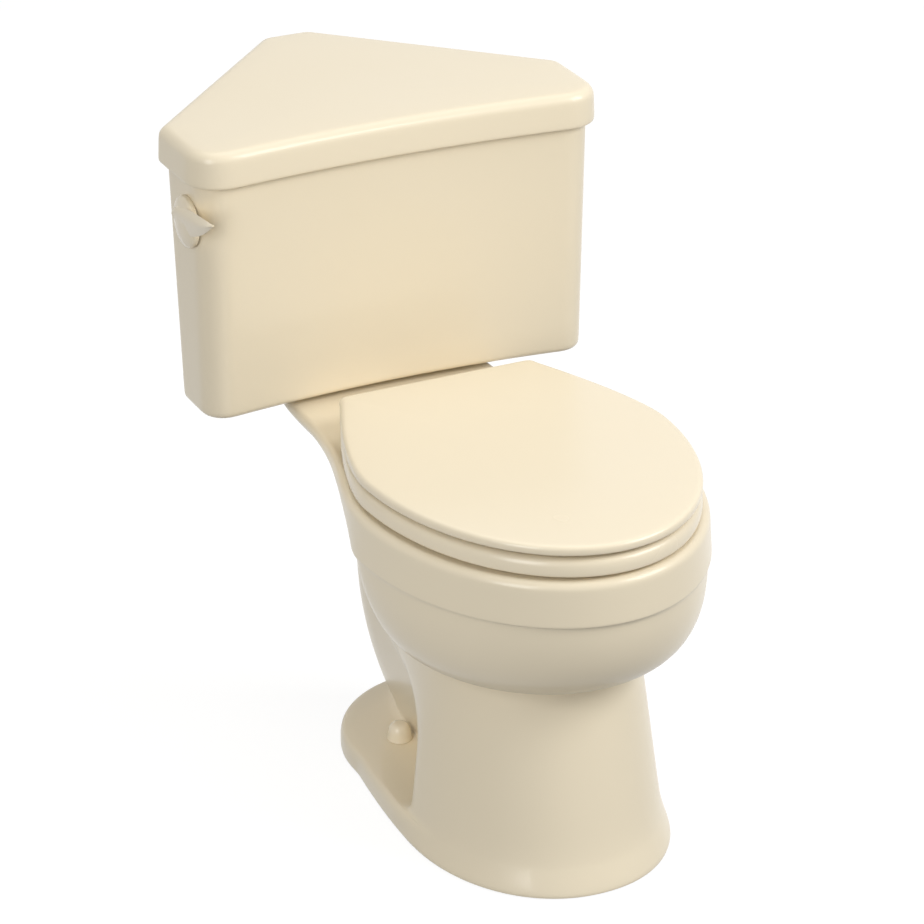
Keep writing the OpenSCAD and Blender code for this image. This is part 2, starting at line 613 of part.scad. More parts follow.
// A closed skin through rings that follow one another round a hole
module hoop(rings) {
  n = len(rings[0]);
  m = len(rings);
  polyhedron(
    points = [for (r = rings) for (p = r) p],
    faces = [for (k = [0 : m - 1]) for (i = [0 : n - 1]) for (half = [0, 1])
      let (j = (i + 1) % n, l = (k + 1) % m) half == 0 ? [k * n + i, l * n + i, l * n + j] : [k * n + i, l * n + j, k * n + j]],
    convexity = 10);
}

post_w = 22;          // width of a hinge post
ear_w = 12;           // width of the ring's and the cover's hinge ears
ear_r = 8.5;          // outside radius of the hinge ears

module ear_at(x) {
  translate([x, hinge_y, hinge_z]) rotate([0, 90, 0]) children();
}

module seat_ring() {
  color(seat_plastic) difference() {
    union() {
      hoop([for (s = ring_section) ring_row(s)]);
      for (s = [-1, 1]) translate([s * (hinge_span / 2 + post_w / 2 + clear + ear_w / 2), 0, 0]) {
        translate([-ear_w / 2, hinge_y, hinge_z]) rotate([0, 90, 0]) cylinder(r = ear_r, h = ear_w);
        translate([-ear_w / 2, seat_back - 12, hinge_z - 4]) cube([ear_w, hinge_y - seat_back + 12, 8]);
      }
    }
    translate([-hinge_span, hinge_y, hinge_z]) rotate([0, 90, 0]) cylinder(r = pin_r + run, h = 2 * hinge_span);
  }
}

bumper_spots = [[150, -190], [84, -10]];
module ring_bumpers() {
  color(black_rubber) for (p = bumper_spots, s = [-1, 1])
    translate([s * p[0], p[1], rim_h + clear]) cylinder(r = 8, h = bumper_h - clear);
}

module seat_cover() {
  c = [0, -seat_mid - 10];
  z0 = cover_z;
  z1 = cover_z + cover_t;
  top = at(both(seat_half(4)), 0);
  color(seat_plastic) difference() {
    union() {
      skin([shrunk(top, 0.25, c, z0 + 4), shrunk(top, 0.94, c, z0 + 4), at(both(seat_half(5)), z0 + 2), at(both(seat_half(4)), z0), at(both(seat_half(1.5)), z0),
        at(both(seat_half(0)), z0 + 1.5), at(both(seat_half(0)), z1 - 5), at(both(seat_half(1.2)), z1 - 2.2),
        at(both(seat_half(4)), z1 - 0.4), shrunk(top, 0.95, c, z1 + cover_crown * 0.2), shrunk(top, 0.8, c, z1 + cover_crown * 0.55),
        shrunk(top, 0.5, c, z1 + cover_crown * 0.9), shrunk(top, 0.2, c, z1 + cover_crown)]);
      for (s = [-1, 1]) translate([s * (hinge_span / 2 - post_w / 2 - clear - ear_w / 2) - ear_w / 2, 0, 0]) {
        translate([0, hinge_y, hinge_z]) rotate([0, 90, 0]) cylinder(r = ear_r, h = ear_w);
        // web from the cover's rear edge down to the ear
        rotate([90, 0, 90]) linear_extrude(ear_w) polygon([
          [seat_back - 10, z0 + 5], [seat_back - 10, z1 - 1], [seat_back - 1, z1 - 2], [hinge_y + ear_r * 0.6, hinge_z + ear_r * 0.8],
          [hinge_y, hinge_z], [hinge_y - ear_r * 0.5, hinge_z + ear_r * 0.86], [seat_back - 2, ring_top + 1.2]]);
      }
    }
    translate([-hinge_span, hinge_y, hinge_z]) rotate([0, 90, 0]) cylinder(r = pin_r + run, h = 2 * hinge_span);
  }
}

cover_bumper_x = 142; // from the middle to the cover's bumpers
cover_bumper_y = 170; // from the outlet's centre forward to the cover's bumpers
module cover_bumpers() {
  color(black_rubber) for (s = [-1, 1])
    translate([s * cover_bumper_x, -cover_bumper_y, ring_top + clear]) cylinder(r = 6, h = cover_gap + 4 - clear);
}

module hinge_posts() {
  color(seat_plastic) pair(hinge_span) difference() {
    union() {
      translate([-post_w / 2, hinge_y - 9, deck_h + clear]) cube([post_w, seat_bolt_y + 13 - hinge_y + 9, 9]);
      translate([-post_w / 2, hinge_y, hinge_z]) rotate([0, 90, 0]) cylinder(r = ear_r, h = post_w);
      rotate([90, 0, 90]) translate([0, 0, -post_w / 2]) linear_extrude(post_w) polygon([
        [hinge_y - ear_r, deck_h + 5], [hinge_y - ear_r, hinge_z], [hinge_y, hinge_z + 2], [hinge_y + ear_r, hinge_z],
        [hinge_y + ear_r + 4, deck_h + 5]]);
    }
    translate([-post_w, hinge_y, hinge_z]) rotate([0, 90, 0]) cylinder(r = pin_r + run, h = 2 * post_w);
    translate([0, seat_bolt_y, deck_h - 1]) cylinder(r = seat_bolt_r + 0.2, h = 20);
    translate([0, seat_bolt_y, deck_h + 6]) cylinder(r = 8.6, h = 20);
  }
}

module hinge_pins() {
  color(steel) for (s = [-1, 1]) ear_at(s * hinge_span / 2 - post_w / 2 - ear_w - clear)
    cylinder(r = pin_r, h = post_w + 2 * ear_w + 2 * clear);
}

module seat_bolts() {
  color(white_plastic) pair(hinge_span) translate([0, seat_bolt_y, 0]) {
    translate([0, 0, deck_h + 6 + clear]) cylinder(r = 8.2, h = 2.6);
    translate([0, 0, seat_pocket_top - 26]) cylinder(r = seat_bolt_r, h = deck_h + 7 - seat_pocket_top + 26);
  }
}

module seat_bolt_nuts() {
  color(white_plastic) pair(hinge_span) translate([0, seat_bolt_y, seat_pocket_top - 13 - clear]) {
    hex_nut(17, seat_bolt_r + 0.1, 10);
    translate([0, 0, 10]) washer(12, seat_bolt_r + 0.1, 3);
  }
}

module seat_bolt_covers() {
  color(seat_plastic) pair(hinge_span) translate([0, seat_bolt_y, deck_h + 9 + 2 * clear]) cylinder(r1 = 9.5, r2 = 8.6, h = 2.4);
}

// ---------------------------------------------------------------- flush valve and flapper

valve_flange_z = tank_floor + 4 + 2 * clear;
valve_seat_z = valve_flange_z + 14;
tube_y = valve_y - tube_off;
tube_top = tank_floor + tube_h;
flapper_y = valve_y - flapper_arm;
flapper_z = valve_seat_z + 10;

module flush_valve() {
  color(white_plastic) difference() {
    union() {
      translate([0, valve_y, deck_h - 22]) cylinder(r = shank_r, h = valve_flange_z - deck_h + 23);
      translate([0, valve_y, valve_flange_z]) cylinder(r = shank_r + 14, h = 3.5);
      translate([0, valve_y, valve_flange_z + 1]) cylinder(r = flapper_r - 1, h = 13);
      // arm to the overflow tube
      translate([-tube_r, tube_y, valve_flange_z]) cube([2 * tube_r, tube_off - 20, 9]);
      translate([0, tube_y, valve_flange_z]) cylinder(r = tube_r, h = tube_top - valve_flange_z);
      // ears that carry the flapper's pins
      translate([-tube_r, tube_y + 4, flapper_z - 6]) cube([2 * tube_r, flapper_y - tube_y, 12]);
      translate([-tube_r - 8, flapper_y, flapper_z]) rotate([0, 90, 0]) cylinder(r = 3, h = 2 * tube_r + 16);
    }
    translate([0, valve_y, deck_h - 24]) cylinder(r = shank_r - 4, h = 80);
    translate([0, tube_y, valve_flange_z + 3]) cylinder(r = tube_r - 2.5, h = tube_h);
  }
}

module flush_valve_seal() {
  color(black_rubber) translate([0, valve_y, tank_floor + clear]) washer(shank_r + 14, shank_r + 0.3, 4);
}

module flush_valve_nut() {
  color(white_plastic) translate([0, valve_y, tank_z - clear - nut_h]) hex_nut(2 * shank_r + 12, shank_r + 0.2, nut_h);
}

hook_y = valve_y + flapper_r - 7;
eye_z = valve_seat_z + 9;
eye_r = 3.8;
module flapper() {
  color(red_rubber) difference() {
    union() {
      translate([0, valve_y, valve_seat_z + clear]) cylinder(r = flapper_r, h = 3);
      translate([0, valve_y, valve_seat_z - 7]) cylinder(r1 = 9, r2 = 19, h = 8);
      translate([0, valve_y, valve_seat_z + 2]) cylinder(r1 = 22, r2 = 12, h = 7);
      for (s = [-1, 1]) translate([s * (tube_r + 4.5), 0, 0]) {
        translate([-3, flapper_y, flapper_z]) rotate([0, 90, 0]) cylinder(r = 6, h = 6);
        translate([-3, flapper_y, valve_seat_z + 1.5]) cube([6, flapper_arm - 10, 7]);
      }
      translate([-2, hook_y - 6.5, valve_seat_z + 2]) cube([4, 13, eye_z + 6.5 - valve_seat_z - 2]);
    }
    translate([-40, flapper_y, flapper_z]) rotate([0, 90, 0]) cylinder(r = 3 + run, h = 80);
    translate([-5, hook_y, eye_z]) rotate([0, 90, 0]) cylinder(r = eye_r, h = 10);
  }
}

// Ball chain with a ring at either end, between the flapper's eye and the trip arm's eye
ball_r = 1.7;
ball_pitch = 4.6;
ring_wire = 0.8;
low_ring = 6;
high_ring = 5;
chain_low = eye_z + 2 * low_ring + ball_r;
chain_high = lever_z - 2 * high_ring - ball_r;
module lift_chain() {
  balls = floor((chain_high - chain_low) / ball_pitch);
  pitch = (chain_high - chain_low) / balls;
  color(steel) translate([0, hook_y, 0]) {
    for (k = [0 : balls]) translate([0, 0, chain_low + k * pitch]) sphere(r = ball_r, $fn = 16);
    translate([0, 0, chain_low - ball_r]) cylinder(r = ring_wire, h = chain_high - chain_low + 2 * ball_r);
    translate([0, 0, eye_z + low_ring]) rotate([90, 0, 0]) rotate_extrude() translate([low_ring, 0]) circle(r = ring_wire, $fn = 16);
    translate([0, 0, lever_z - high_ring]) rotate([90, 0, 0]) rotate_extrude() translate([high_ring, 0]) circle(r = ring_wire, $fn = 16);
  }
}

// ---------------------------------------------------------------- flush lever

function wall_at(z) = tank_w / 2 + tank_flare / 2 * (z - tank_z) / tank_h;
wall_x = wall_at(lever_z);

module lever_bushing() {
  color(white_plastic) translate([-wall_x, lever_y, lever_z]) rotate([0, 90, 0]) difference() {
    union() {
      translate([0, 0, -3.1 - clear]) cylinder(r = boss_r - 3, h = 3);
      translate([0, 0, -3]) cylinder(r = bush_r, h = tank_t + 16);
    }
    translate([0, 0, -10]) cylinder(r = shaft_r + run, h = tank_t + 40);
  }
}

module lever_nut() {
  color(white_plastic) translate([-wall_x + tank_t + clear + 0.7, lever_y, lever_z]) rotate([0, 90, 0])
    hex_nut(28, bush_r + 0.1, 6);
}

lever_tilt = 16;      // slope of the paddle, which rises to its tip
module flush_lever() {
  x0 = -wall_x - 3.1 - 2 * clear;
  color(seat_plastic) union() {
    // round boss, domed
    translate([x0, lever_y, lever_z]) rotate([0, -90, 0]) rotate_extrude() polygon(concat([[0, 0], [boss_r, 0], [boss_r, 1]],
      [for (a = [15 : 15 : 75]) [boss_r * cos(a), 1 + 7 * sin(a)]], [[0, 8]]));
    // paddle
    translate([x0 - 2.5, lever_y, lever_z + 3]) rotate([-lever_tilt, 0, 0]) paddle();
    // shaft through the bushing
    translate([x0 - 1, lever_y, lever_z]) rotate([0, 90, 0]) cylinder(r = shaft_r, h = tank_t + 26);
  }
}

// The paddle's outline widens from its heel to its grip and ends in a round tip, with a domed face
module paddle() {
  steps = 12;
  heel = 20;
  function half_h(t) = lerp(12.5, 6, pow(t, 1.4)) * sqrt(max(0.001, 1 - pow(abs(2 * t - 1), 5)));
  function station(k) = let (t = (1 - cos(180 * k / steps)) / 2, y = lerp(heel, -lever_reach, t), h = max(0.6, half_h(t)))
    [for (j = [0 : 11]) let (a = 30 * j + 15) [-2.5 - 4 * sin(a) * min(1, h / 5), y, h * cos(a)]];
  skin([for (k = [0 : steps]) station(k)]);
}

arm_r = 2.6;
arm_end = 14;         // length of the arm's straight end, which carries the eye
module trip_arm() {
  hub_x = -wall_x + tank_t + 13.3;
  run_x = -hub_x - 6;
  run_y = hook_y - arm_end - lever_y;
  color(steel) difference() {
    union() {
      translate([hub_x, lever_y, lever_z]) rotate([0, 90, 0]) cylinder(r = 7.5, h = 11);
      translate([hub_x + 6, lever_y, lever_z]) rotate([0, 90, atan2(run_y, run_x)]) cylinder(r = arm_r, h = norm([run_x, run_y]));
      translate([0, hook_y - arm_end, lever_z]) sphere(r = arm_r + 0.4);
      translate([0, hook_y - arm_end, lever_z]) rotate([-90, 0, 0]) cylinder(r = arm_r - 0.3, h = arm_end - 3.5);
      translate([-2, hook_y, lever_z]) rotate([0, 90, 0]) cylinder(r = 5, h = 4);
    }
    translate([hub_x - 1, lever_y, lever_z]) rotate([0, 90, 0]) cylinder(r = shaft_r + 0.02, h = 10);
    translate([-5, hook_y, lever_z]) rotate([0, 90, 0]) cylinder(r = 2.2, h = 10);
  }
}

// ---------------------------------------------------------------- fill valve

fill_top = tank_floor + fill_h;
float_z = fill_top - 34 - float_h;
riser_r = 10;
rod_off = 28;
pivot_up = 33;        // height of the fill lever's pin above the cap's foot
fill_pivot_z = fill_top - 26 + clear + pivot_up;
module at_fill(z) {
  translate([-fill_x, fill_y, z]) children();
}

module fill_valve() {
  color(white_plastic) at_fill(0) difference() {
    union() {
      translate([0, 0, tank_z - inlet_drop]) cylinder(r = inlet_end_r, h = inlet_drop);
      translate([0, 0, tank_z - 16]) cylinder(r = inlet_r, h = 16 + tank_t + 9);
      translate([0, 0, tank_floor + 5 + 2 * clear]) cylinder(r = inlet_r + 9, h = 4);
      translate([0, 0, tank_floor + 8]) cylinder(r = riser_r + 3, h = 40);
      translate([0, 0, tank_floor + 40]) cylinder(r = riser_r, h = fill_top - 26 - tank_floor - 40);
    }
    translate([0, 0, tank_z - inlet_drop - 1]) cylinder(r = 6, h = fill_top - tank_z + inlet_drop - 30);
  }
}

module fill_valve_seal() {
  color(black_rubber) at_fill(tank_floor + clear) washer(inlet_r + 8, inlet_r + 0.2, 5);
}

module fill_valve_nut() {
  color(white_plastic) at_fill(tank_z - clear - 12) hex_nut(2 * inlet_r + 12, inlet_r + 0.1, 12);
}

module fill_valve_cap() {
  color(grey_plastic) at_fill(fill_top - 26 + clear) difference() {
    union() {
      cylinder(r = 19, h = 15);
      translate([0, 0, 15]) cylinder(r1 = 19, r2 = 12, h = 5);
      // ears for the fill lever's pin
      for (s = [-1, 1]) translate([-16, s * 8 - 2, 16]) cube([10, 4, pivot_up - 11]);
      translate([-11, -8, pivot_up]) rotate([-90, 0, 0]) cylinder(r = 1.8, h = 16);
      // nipple for the refill tube
      translate([nipple[0] + fill_x, nipple[1] - fill_y, 12]) cylinder(r = 2.4, h = 13);
      translate([nipple[0] + fill_x, nipple[1] - fill_y, 6]) cylinder(r = 5, h = 12);
    }
    translate([0, 0, -1]) cylinder(r = riser_r - 3, h = 8);
  }
}

module fill_lever() {
  color(grey_plastic) at_fill(fill_top - 26 + clear) difference() {
    union() {
      translate([-11, -5.5, pivot_up]) rotate([-90, 0, 0]) cylinder(r = 4.2, h = 11);
      translate([-11, -5.5, pivot_up - 2.5]) cube([rod_off + 19, 11, 5]);
    }
    translate([-11, -9, pivot_up]) rotate([-90, 0, 0]) cylinder(r = 1.8 + run, h = 18);
    translate([rod_off - 7, -2.2, pivot_up - 10]) cube([20, 4.4, 20]);
  }
}

module float_cup() {
  color(grey_plastic) at_fill(float_z) difference() {
    union() {
      rotate_extrude() polygon([[riser_r + 0.8, 0], [float_r - 3, 0], [float_r, 3], [float_r, float_h - 4], [float_r - 4, float_h],
        [riser_r + 0.8, float_h]]);
    }
    translate([0, 0, -1]) washer(float_r - 3, riser_r + 4, float_h - 6);
    translate([rod_off, 0, float_h - 3]) cylinder(r = 1.5, h = 4);
  }
}

module float_rod() {
  color(steel) at_fill(float_z + float_h) translate([rod_off, 0, 0]) {
    translate([0, 0, -2]) cylinder(r = 1.5, h = fill_pivot_z + 11 - float_z - float_h);
    // collars below and above the fill lever
    for (z = [-6.6, 4.6]) translate([0, 0, fill_pivot_z - float_z - float_h + z]) cylinder(r = 3.5, h = 2);
  }
}

// ---------------------------------------------------------------- refill tube

nipple = [-fill_x + 13, fill_y - 14];
tube_hi = fill_top + 20;
bend_r = 20;
hose_r = 4;
module refill_clip() {
  color(white_plastic) translate([0, tube_y, tube_top + clear]) difference() {
    union() {
      cylinder(r = tube_r, h = 3);
      cylinder(r = 2.4, h = 9);
    }
    translate([0, 0, -1]) cylinder(r = 1.5, h = 20);
  }
}

hose_in = 2.7;
hose_start = fill_top - 26 + clear + 18.5;
hose_end = tube_top + clear + 4;
// The hose's path: [distance, height, direction] up from the nipple, over, and down to the clip
function hose_path(len) = concat([[0, hose_start, 90]],
  [for (a = [0 : 15 : 90]) [bend_r * (1 - cos(a)), tube_hi - bend_r * (1 - sin(a)), 90 - a]],
  [for (a = [0 : 15 : 90]) [len - bend_r * (1 - sin(a)), tube_hi - bend_r * (1 - cos(a)), -a]],
  [[len, hose_end, -90]]);
function hose_ring(q, r) = [for (a = [0 : 30 : 330]) [q[0] - sin(q[2]) * r * cos(a), r * sin(a), q[1] + cos(q[2]) * r * cos(a)]];
module refill_tube() {
  run = [-nipple[0], tube_y - nipple[1]];
  path = hose_path(norm(run));
  last = len(path) - 1;
  color(hose_vinyl) translate([nipple[0], nipple[1], 0]) rotate([0, 0, atan2(run[1], run[0])])
    hoop(concat([for (k = [last : -1 : 0]) hose_ring(path[k], hose_r)], [for (k = [0 : last]) hose_ring(path[k], hose_in)]));
}

bowl();
bolt_cap_bases();
bolt_caps();
tank();
tank_lid();
tank_gasket();
tank_bolts();
tank_bolt_seals();
tank_bolt_washers();
tank_bolt_nuts();
seat_ring();
ring_bumpers();
seat_cover();
cover_bumpers();
hinge_posts();
hinge_pins();
seat_bolts();
seat_bolt_nuts();
seat_bolt_covers();
flush_valve();
flush_valve_seal();
flush_valve_nut();
flapper();
lift_chain();
lever_bushing();
lever_nut();
flush_lever();
trip_arm();
fill_valve();
fill_valve_seal();
fill_valve_nut();
fill_valve_cap();
fill_lever();
float_cup();
float_rod();
refill_clip();
refill_tube();
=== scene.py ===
# %% [markdown]
# # A corner toilet, dressed for its studio view
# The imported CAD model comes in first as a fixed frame. It carries every joint and every true size. The
# big glazed castings are then modelled again as smooth lofts, because a kiln leaves no flat facets, and each
# of them replaces its CAD node. Small fittings that already have the right shape keep their CAD mesh and
# only get a finish. All lengths below are typed in millimetres, as a potter's drawing gives them, and are
# turned to metres when the mesh is made.

# %% Load the frame
import bpy
import bmesh
import json
import math
from mathutils import Matrix, Vector


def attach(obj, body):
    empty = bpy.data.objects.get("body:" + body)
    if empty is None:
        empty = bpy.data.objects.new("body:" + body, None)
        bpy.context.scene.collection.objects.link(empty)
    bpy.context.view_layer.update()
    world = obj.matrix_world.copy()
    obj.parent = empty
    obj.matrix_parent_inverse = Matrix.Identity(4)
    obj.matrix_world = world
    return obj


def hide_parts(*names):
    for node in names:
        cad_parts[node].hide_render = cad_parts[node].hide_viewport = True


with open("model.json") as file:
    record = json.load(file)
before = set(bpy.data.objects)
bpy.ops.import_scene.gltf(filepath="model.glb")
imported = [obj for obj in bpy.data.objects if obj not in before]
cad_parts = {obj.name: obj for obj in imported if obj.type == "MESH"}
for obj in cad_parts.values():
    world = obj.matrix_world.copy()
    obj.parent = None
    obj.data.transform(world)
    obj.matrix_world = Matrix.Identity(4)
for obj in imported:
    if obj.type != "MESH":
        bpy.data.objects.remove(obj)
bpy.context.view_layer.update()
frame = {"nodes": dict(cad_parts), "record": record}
MM = 0.001

# %% [markdown]
# ## Camera
# A long lens far away keeps the sides of a big object nearly parallel. The camera stands to the front left,
# a little above the tank, and looks at a point low in the tank's front. A camera could be aimed by hand,
# but a track quaternion from two points says the same thing in one line.

# %% Camera
camera_data = bpy.data.cameras.new("studio_camera")
camera_data.lens = 154.6
camera_data.sensor_width = 36.0
camera_data.clip_end = 100.0
camera = bpy.data.objects.new("studio_camera", camera_data)
bpy.context.scene.collection.objects.link(camera)
aim = Vector((-0.0475, -0.1000, 0.4071))
camera.location = (-1.7029, -3.4987, 2.2217)
camera.rotation_mode = "QUATERNION"
camera.rotation_quaternion = (aim - camera.location).to_track_quat("-Z", "Y")
bpy.context.scene.camera = camera
bpy.context.scene.view_settings.view_transform = "Standard"
print("camera to aim, m:", round((aim - camera.location).length, 3))

# %% [markdown]
# ## Studio
# Glazed china is told from dull plastic by its long soft highlights. They come from large lamps: one broad
# softbox at the right front, a weaker one at the left for the shadow side, and one above that lights the
# lid. The world fills in the rest. The backdrop is white only for rays that come straight from the camera,
# off a glossy surface or through a clear one, so the background is clean and the light stays plain.

# %% Node helpers
def set_inputs(node, values):
    """Types a value into each named socket of a node."""
    for label, value in values.items():
        node.inputs[label].default_value = value


def math_node(tree, operation, first, second):
    """A math node whose two sides are plain numbers or the outputs of other nodes."""
    node = tree.nodes.new("ShaderNodeMath")
    node.operation = operation
    for side, value in zip(node.inputs, (first, second)):
        if isinstance(value, float):
            side.default_value = value
        else:
            tree.links.new(value, side)
    return node.outputs[0]


def seen_directly(tree):
    """A mask that is 1 for camera, glossy and clear rays, and 0 for the rays that light the object."""
    path = tree.nodes.new("ShaderNodeLightPath")
    total = path.outputs["Is Camera Ray"]
    for other in ("Is Glossy Ray", "Is Transmission Ray"):
        total = math_node(tree, "MAXIMUM", total, path.outputs[other])
    return total


# %% World
world = bpy.data.worlds.new("studio_world")
bpy.context.scene.world = world
world.use_nodes = True
tree = world.node_tree
tree.nodes.clear()
fill = tree.nodes.new("ShaderNodeBackground")
set_inputs(fill, {"Color": (1.0, 0.975, 0.91, 1.0), "Strength": 0.385})
backdrop = tree.nodes.new("ShaderNodeBackground")
set_inputs(backdrop, {"Color": (1.0, 1.0, 1.0, 1.0), "Strength": 1.0})
mix = tree.nodes.new("ShaderNodeMixShader")
out = tree.nodes.new("ShaderNodeOutputWorld")
tree.links.new(seen_directly(tree), mix.inputs["Fac"])
tree.links.new(fill.outputs["Background"], mix.inputs[1])
tree.links.new(backdrop.outputs["Background"], mix.inputs[2])
tree.links.new(mix.outputs["Shader"], out.inputs["Surface"])
print("world nodes:", len(tree.nodes))

# %% [markdown]
# ## Floor
# The floor is a wide disc of paper. White paper would look grey under lamps this soft, and it would throw
# too much light back up at the foot. So the paper itself is grey, and a glow lifts it to white, but only for
# the same direct rays. The soft shadow stays, because it darkens the share that the lamps add.

# %% Floor
floor_radius, floor_gap, paper_grey, paper_glow = 14.0, 0.0006, 0.22, 0.87


def studio_floor():
    """The paper disc, just under the foot, so that the two never lie in one plane."""
    bm = bmesh.new()
    bmesh.ops.create_circle(bm, cap_ends=True, segments=96, radius=floor_radius)
    bmesh.ops.translate(bm, verts=bm.verts, vec=(0.0, 0.0, -floor_gap))
    mesh = bpy.data.meshes.new("studio_floor")
    bm.to_mesh(mesh)
    bm.free()
    floor = bpy.data.objects.new("studio_floor", mesh)
    bpy.context.scene.collection.objects.link(floor)
    paper = bpy.data.materials.new("floor_paper")
    paper.use_nodes = True
    tree = paper.node_tree
    shader = tree.nodes["Principled BSDF"]
    set_inputs(shader, {"Base Color": (paper_grey, paper_grey, paper_grey, 1.0), "Roughness": 0.9,
                        "Specular IOR Level": 0.0, "Emission Color": (1.0, 1.0, 1.0, 1.0)})
    glow = math_node(tree, "MULTIPLY", seen_directly(tree), paper_glow)
    tree.links.new(glow, shader.inputs["Emission Strength"])
    mesh.materials.append(paper)


studio_floor()
print("floor radius, m:", floor_radius)

# %% Lamps
def softbox(name, place, target, size, watts):
    """A flat lamp of the given width and height that faces the target."""
    light = bpy.data.lights.new(name, "AREA")
    light.shape = "RECTANGLE"
    light.size, light.size_y = size
    light.energy = watts
    lamp = bpy.data.objects.new(name, light)
    bpy.context.scene.collection.objects.link(lamp)
    lamp.location = place
    lamp.rotation_mode = "QUATERNION"
    lamp.rotation_quaternion = (Vector(target) - Vector(place)).to_track_quat("-Z", "Y")
    print(name, watts, "W")


softbox("key_softbox", (2.5, -2.2, 2.7), (0.0, -0.05, 0.4), (2.2, 1.8), 99)
softbox("left_softbox", (-2.8, -2.1, 1.7), (0.0, 0.0, 0.35), (1.4, 2.2), 51)
softbox("top_softbox", (0.2, 0.4, 3.2), (0.0, 0.0, 0.5), (2.4, 2.4), 22)

# %% [markdown]
# ## Making sections
# Every casting here was shaped by cross sections, as a plaster mould is. A section is a closed loop of points
# at one height. The curves are superellipses: an exponent of 2 gives an ellipse, and more makes the
# corners squarer. Only the right half is worked out, and the left half is its mirror.

# %% Curves for sections
def lerp(a, b, t):
    """The value a share t of the way from a to b."""
    return a + (b - a) * t


def mixed(p, q, share):
    """A point on the way from p to q."""
    return tuple(lerp(a, b, share) for a, b in zip(p, q))


def ease(t):
    """Goes from 0 to 1 with a soft start and a soft end."""
    t = max(0.0, min(1.0, t))
    return t * t * (3 - 2 * t)


def fade(t, power):
    """Goes from 0 to 1 with a quick start and a soft end."""
    return 1 - (1 - t) ** power


def quarter(a, b, power, steps):
    """A quarter of a superellipse, from its tip on the centre line to its side."""
    turn = [math.radians(90 * k / steps) for k in range(steps + 1)]
    return [(a * abs(math.sin(t)) ** (2 / power), b * abs(math.cos(t)) ** (2 / power)) for t in turn]


def quarter_turn(degrees):
    """How far a point of a unit circle lies inside the square around it, along each axis."""
    a = math.radians(degrees)
    return 1 - math.cos(a), 1 - math.sin(a)


def whole(half):
    """A full loop from its right half, which runs from the front centre to the rear centre."""
    return half + [(-p[0],) + tuple(p[1:]) for p in half[-2:0:-1]]


def level(points, z):
    """Lays an outline flat at one height."""
    return [(p[0], p[1], z) for p in points]


# %% [markdown]
# ## Lofting with bmesh
# A loft could be written as one long list of points and faces. Extruding is easier to follow: a circle is
# created with one vertex for each point of the section, its vertices are put on the first section, and then
# the open edge loop is extruded again and again, each time onto the next section. The faces come out as
# clean quads, which a Subdivision Surface then rounds.

# %% Loft helper
def put_ring(ring, section):
    """Puts a loop of vertices on the points of a section."""
    for vert, point in zip(ring, section):
        vert.co = Vector(point) * MM


def next_ring(bm, ring):
    """Extrudes a closed loop of vertices and returns the new loop in the same order."""
    count = len(ring)
    edges = [bm.edges.get((ring[k], ring[(k + 1) % count])) for k in range(count)]
    made = bmesh.ops.extrude_edge_only(bm, edges=edges)["geom"]
    new = {g for g in made if isinstance(g, bmesh.types.BMVert)}
    return [next(e.other_vert(v) for e in v.link_edges if e.other_vert(v) in new) for v in ring]


def loft(bm, sections, closed=False):
    """Extrudes a circle through the sections. An open loft is capped, a closed one joins its own start."""
    made = bmesh.ops.create_circle(bm, cap_ends=False, segments=len(sections[0]), radius=1.0)
    ring = made["verts"]
    first = ring
    put_ring(ring, sections[0])
    for section in sections[1:]:
        ring = next_ring(bm, ring)
        put_ring(ring, section)
    if closed:
        count = len(ring)
        both = [bm.edges.get((r[k], r[(k + 1) % count])) for r in (first, ring) for k in range(count)]
        bmesh.ops.bridge_loops(bm, edges=both)
    else:
        bmesh.ops.contextual_create(bm, geom=first)
        bmesh.ops.contextual_create(bm, geom=ring)


def new_object(name, bm):
    """Turns a bmesh into an object at the origin, with its normals outward and its faces smooth."""
    bmesh.ops.recalc_face_normals(bm, faces=bm.faces)
    for face in bm.faces:
        face.smooth = True
    mesh = bpy.data.meshes.new(name)
    bm.to_mesh(mesh)
    bm.free()
    obj = bpy.data.objects.new(name, mesh)
    bpy.context.scene.collection.objects.link(obj)
    return obj


# %% [markdown]
# ## Finishing a mesh
# Modifiers finish the raw lofts: a Subdivision Surface rounds them and Booleans drill them. They are
# applied at once, so later steps see the true shape. After drilling, edges sharper than a set angle are
# marked, and the smooth shading stops there.

# %% Modifier helpers
def apply_modifiers(obj):
    """Makes the shape that the modifiers give the object's own mesh."""
    graph = bpy.context.evaluated_depsgraph_get()
    mesh = bpy.data.meshes.new_from_object(obj.evaluated_get(graph))
    obj.modifiers.clear()
    old = obj.data
    obj.data = mesh
    mesh.name = obj.name
    bpy.data.meshes.remove(old)


def round_off(obj):
    """Rounds a loft with one level of subdivision."""
    mod = obj.modifiers.new("round_off", "SUBSURF")
    mod.levels = mod.render_levels = 1
    apply_modifiers(obj)


def mark_sharp(obj, degrees):
    """Merges doubles and ends the smooth shading at edges sharper than the given angle."""
    bm = bmesh.new()
    bm.from_mesh(obj.data)
    bmesh.ops.remove_doubles(bm, verts=bm.verts, dist=1e-6)
    limit = math.radians(degrees)
    for edge in bm.edges:
        edge.smooth = not (len(edge.link_faces) == 2 and edge.calc_face_angle(0.0) > limit)
    for face in bm.faces:
        face.smooth = True
    bm.to_mesh(obj.data)
    bm.free()


def combine(obj, tools, operation):
    """Cuts tools out of obj, or welds them on, then throws the tools away."""
    for tool in tools:
        mod = obj.modifiers.new("cut", "BOOLEAN")
        mod.operation = operation
        mod.solver = "EXACT"
        mod.object = tool
    apply_modifiers(obj)
    for tool in tools:
        data = tool.data
        bpy.data.objects.remove(tool)
        bpy.data.meshes.remove(data)


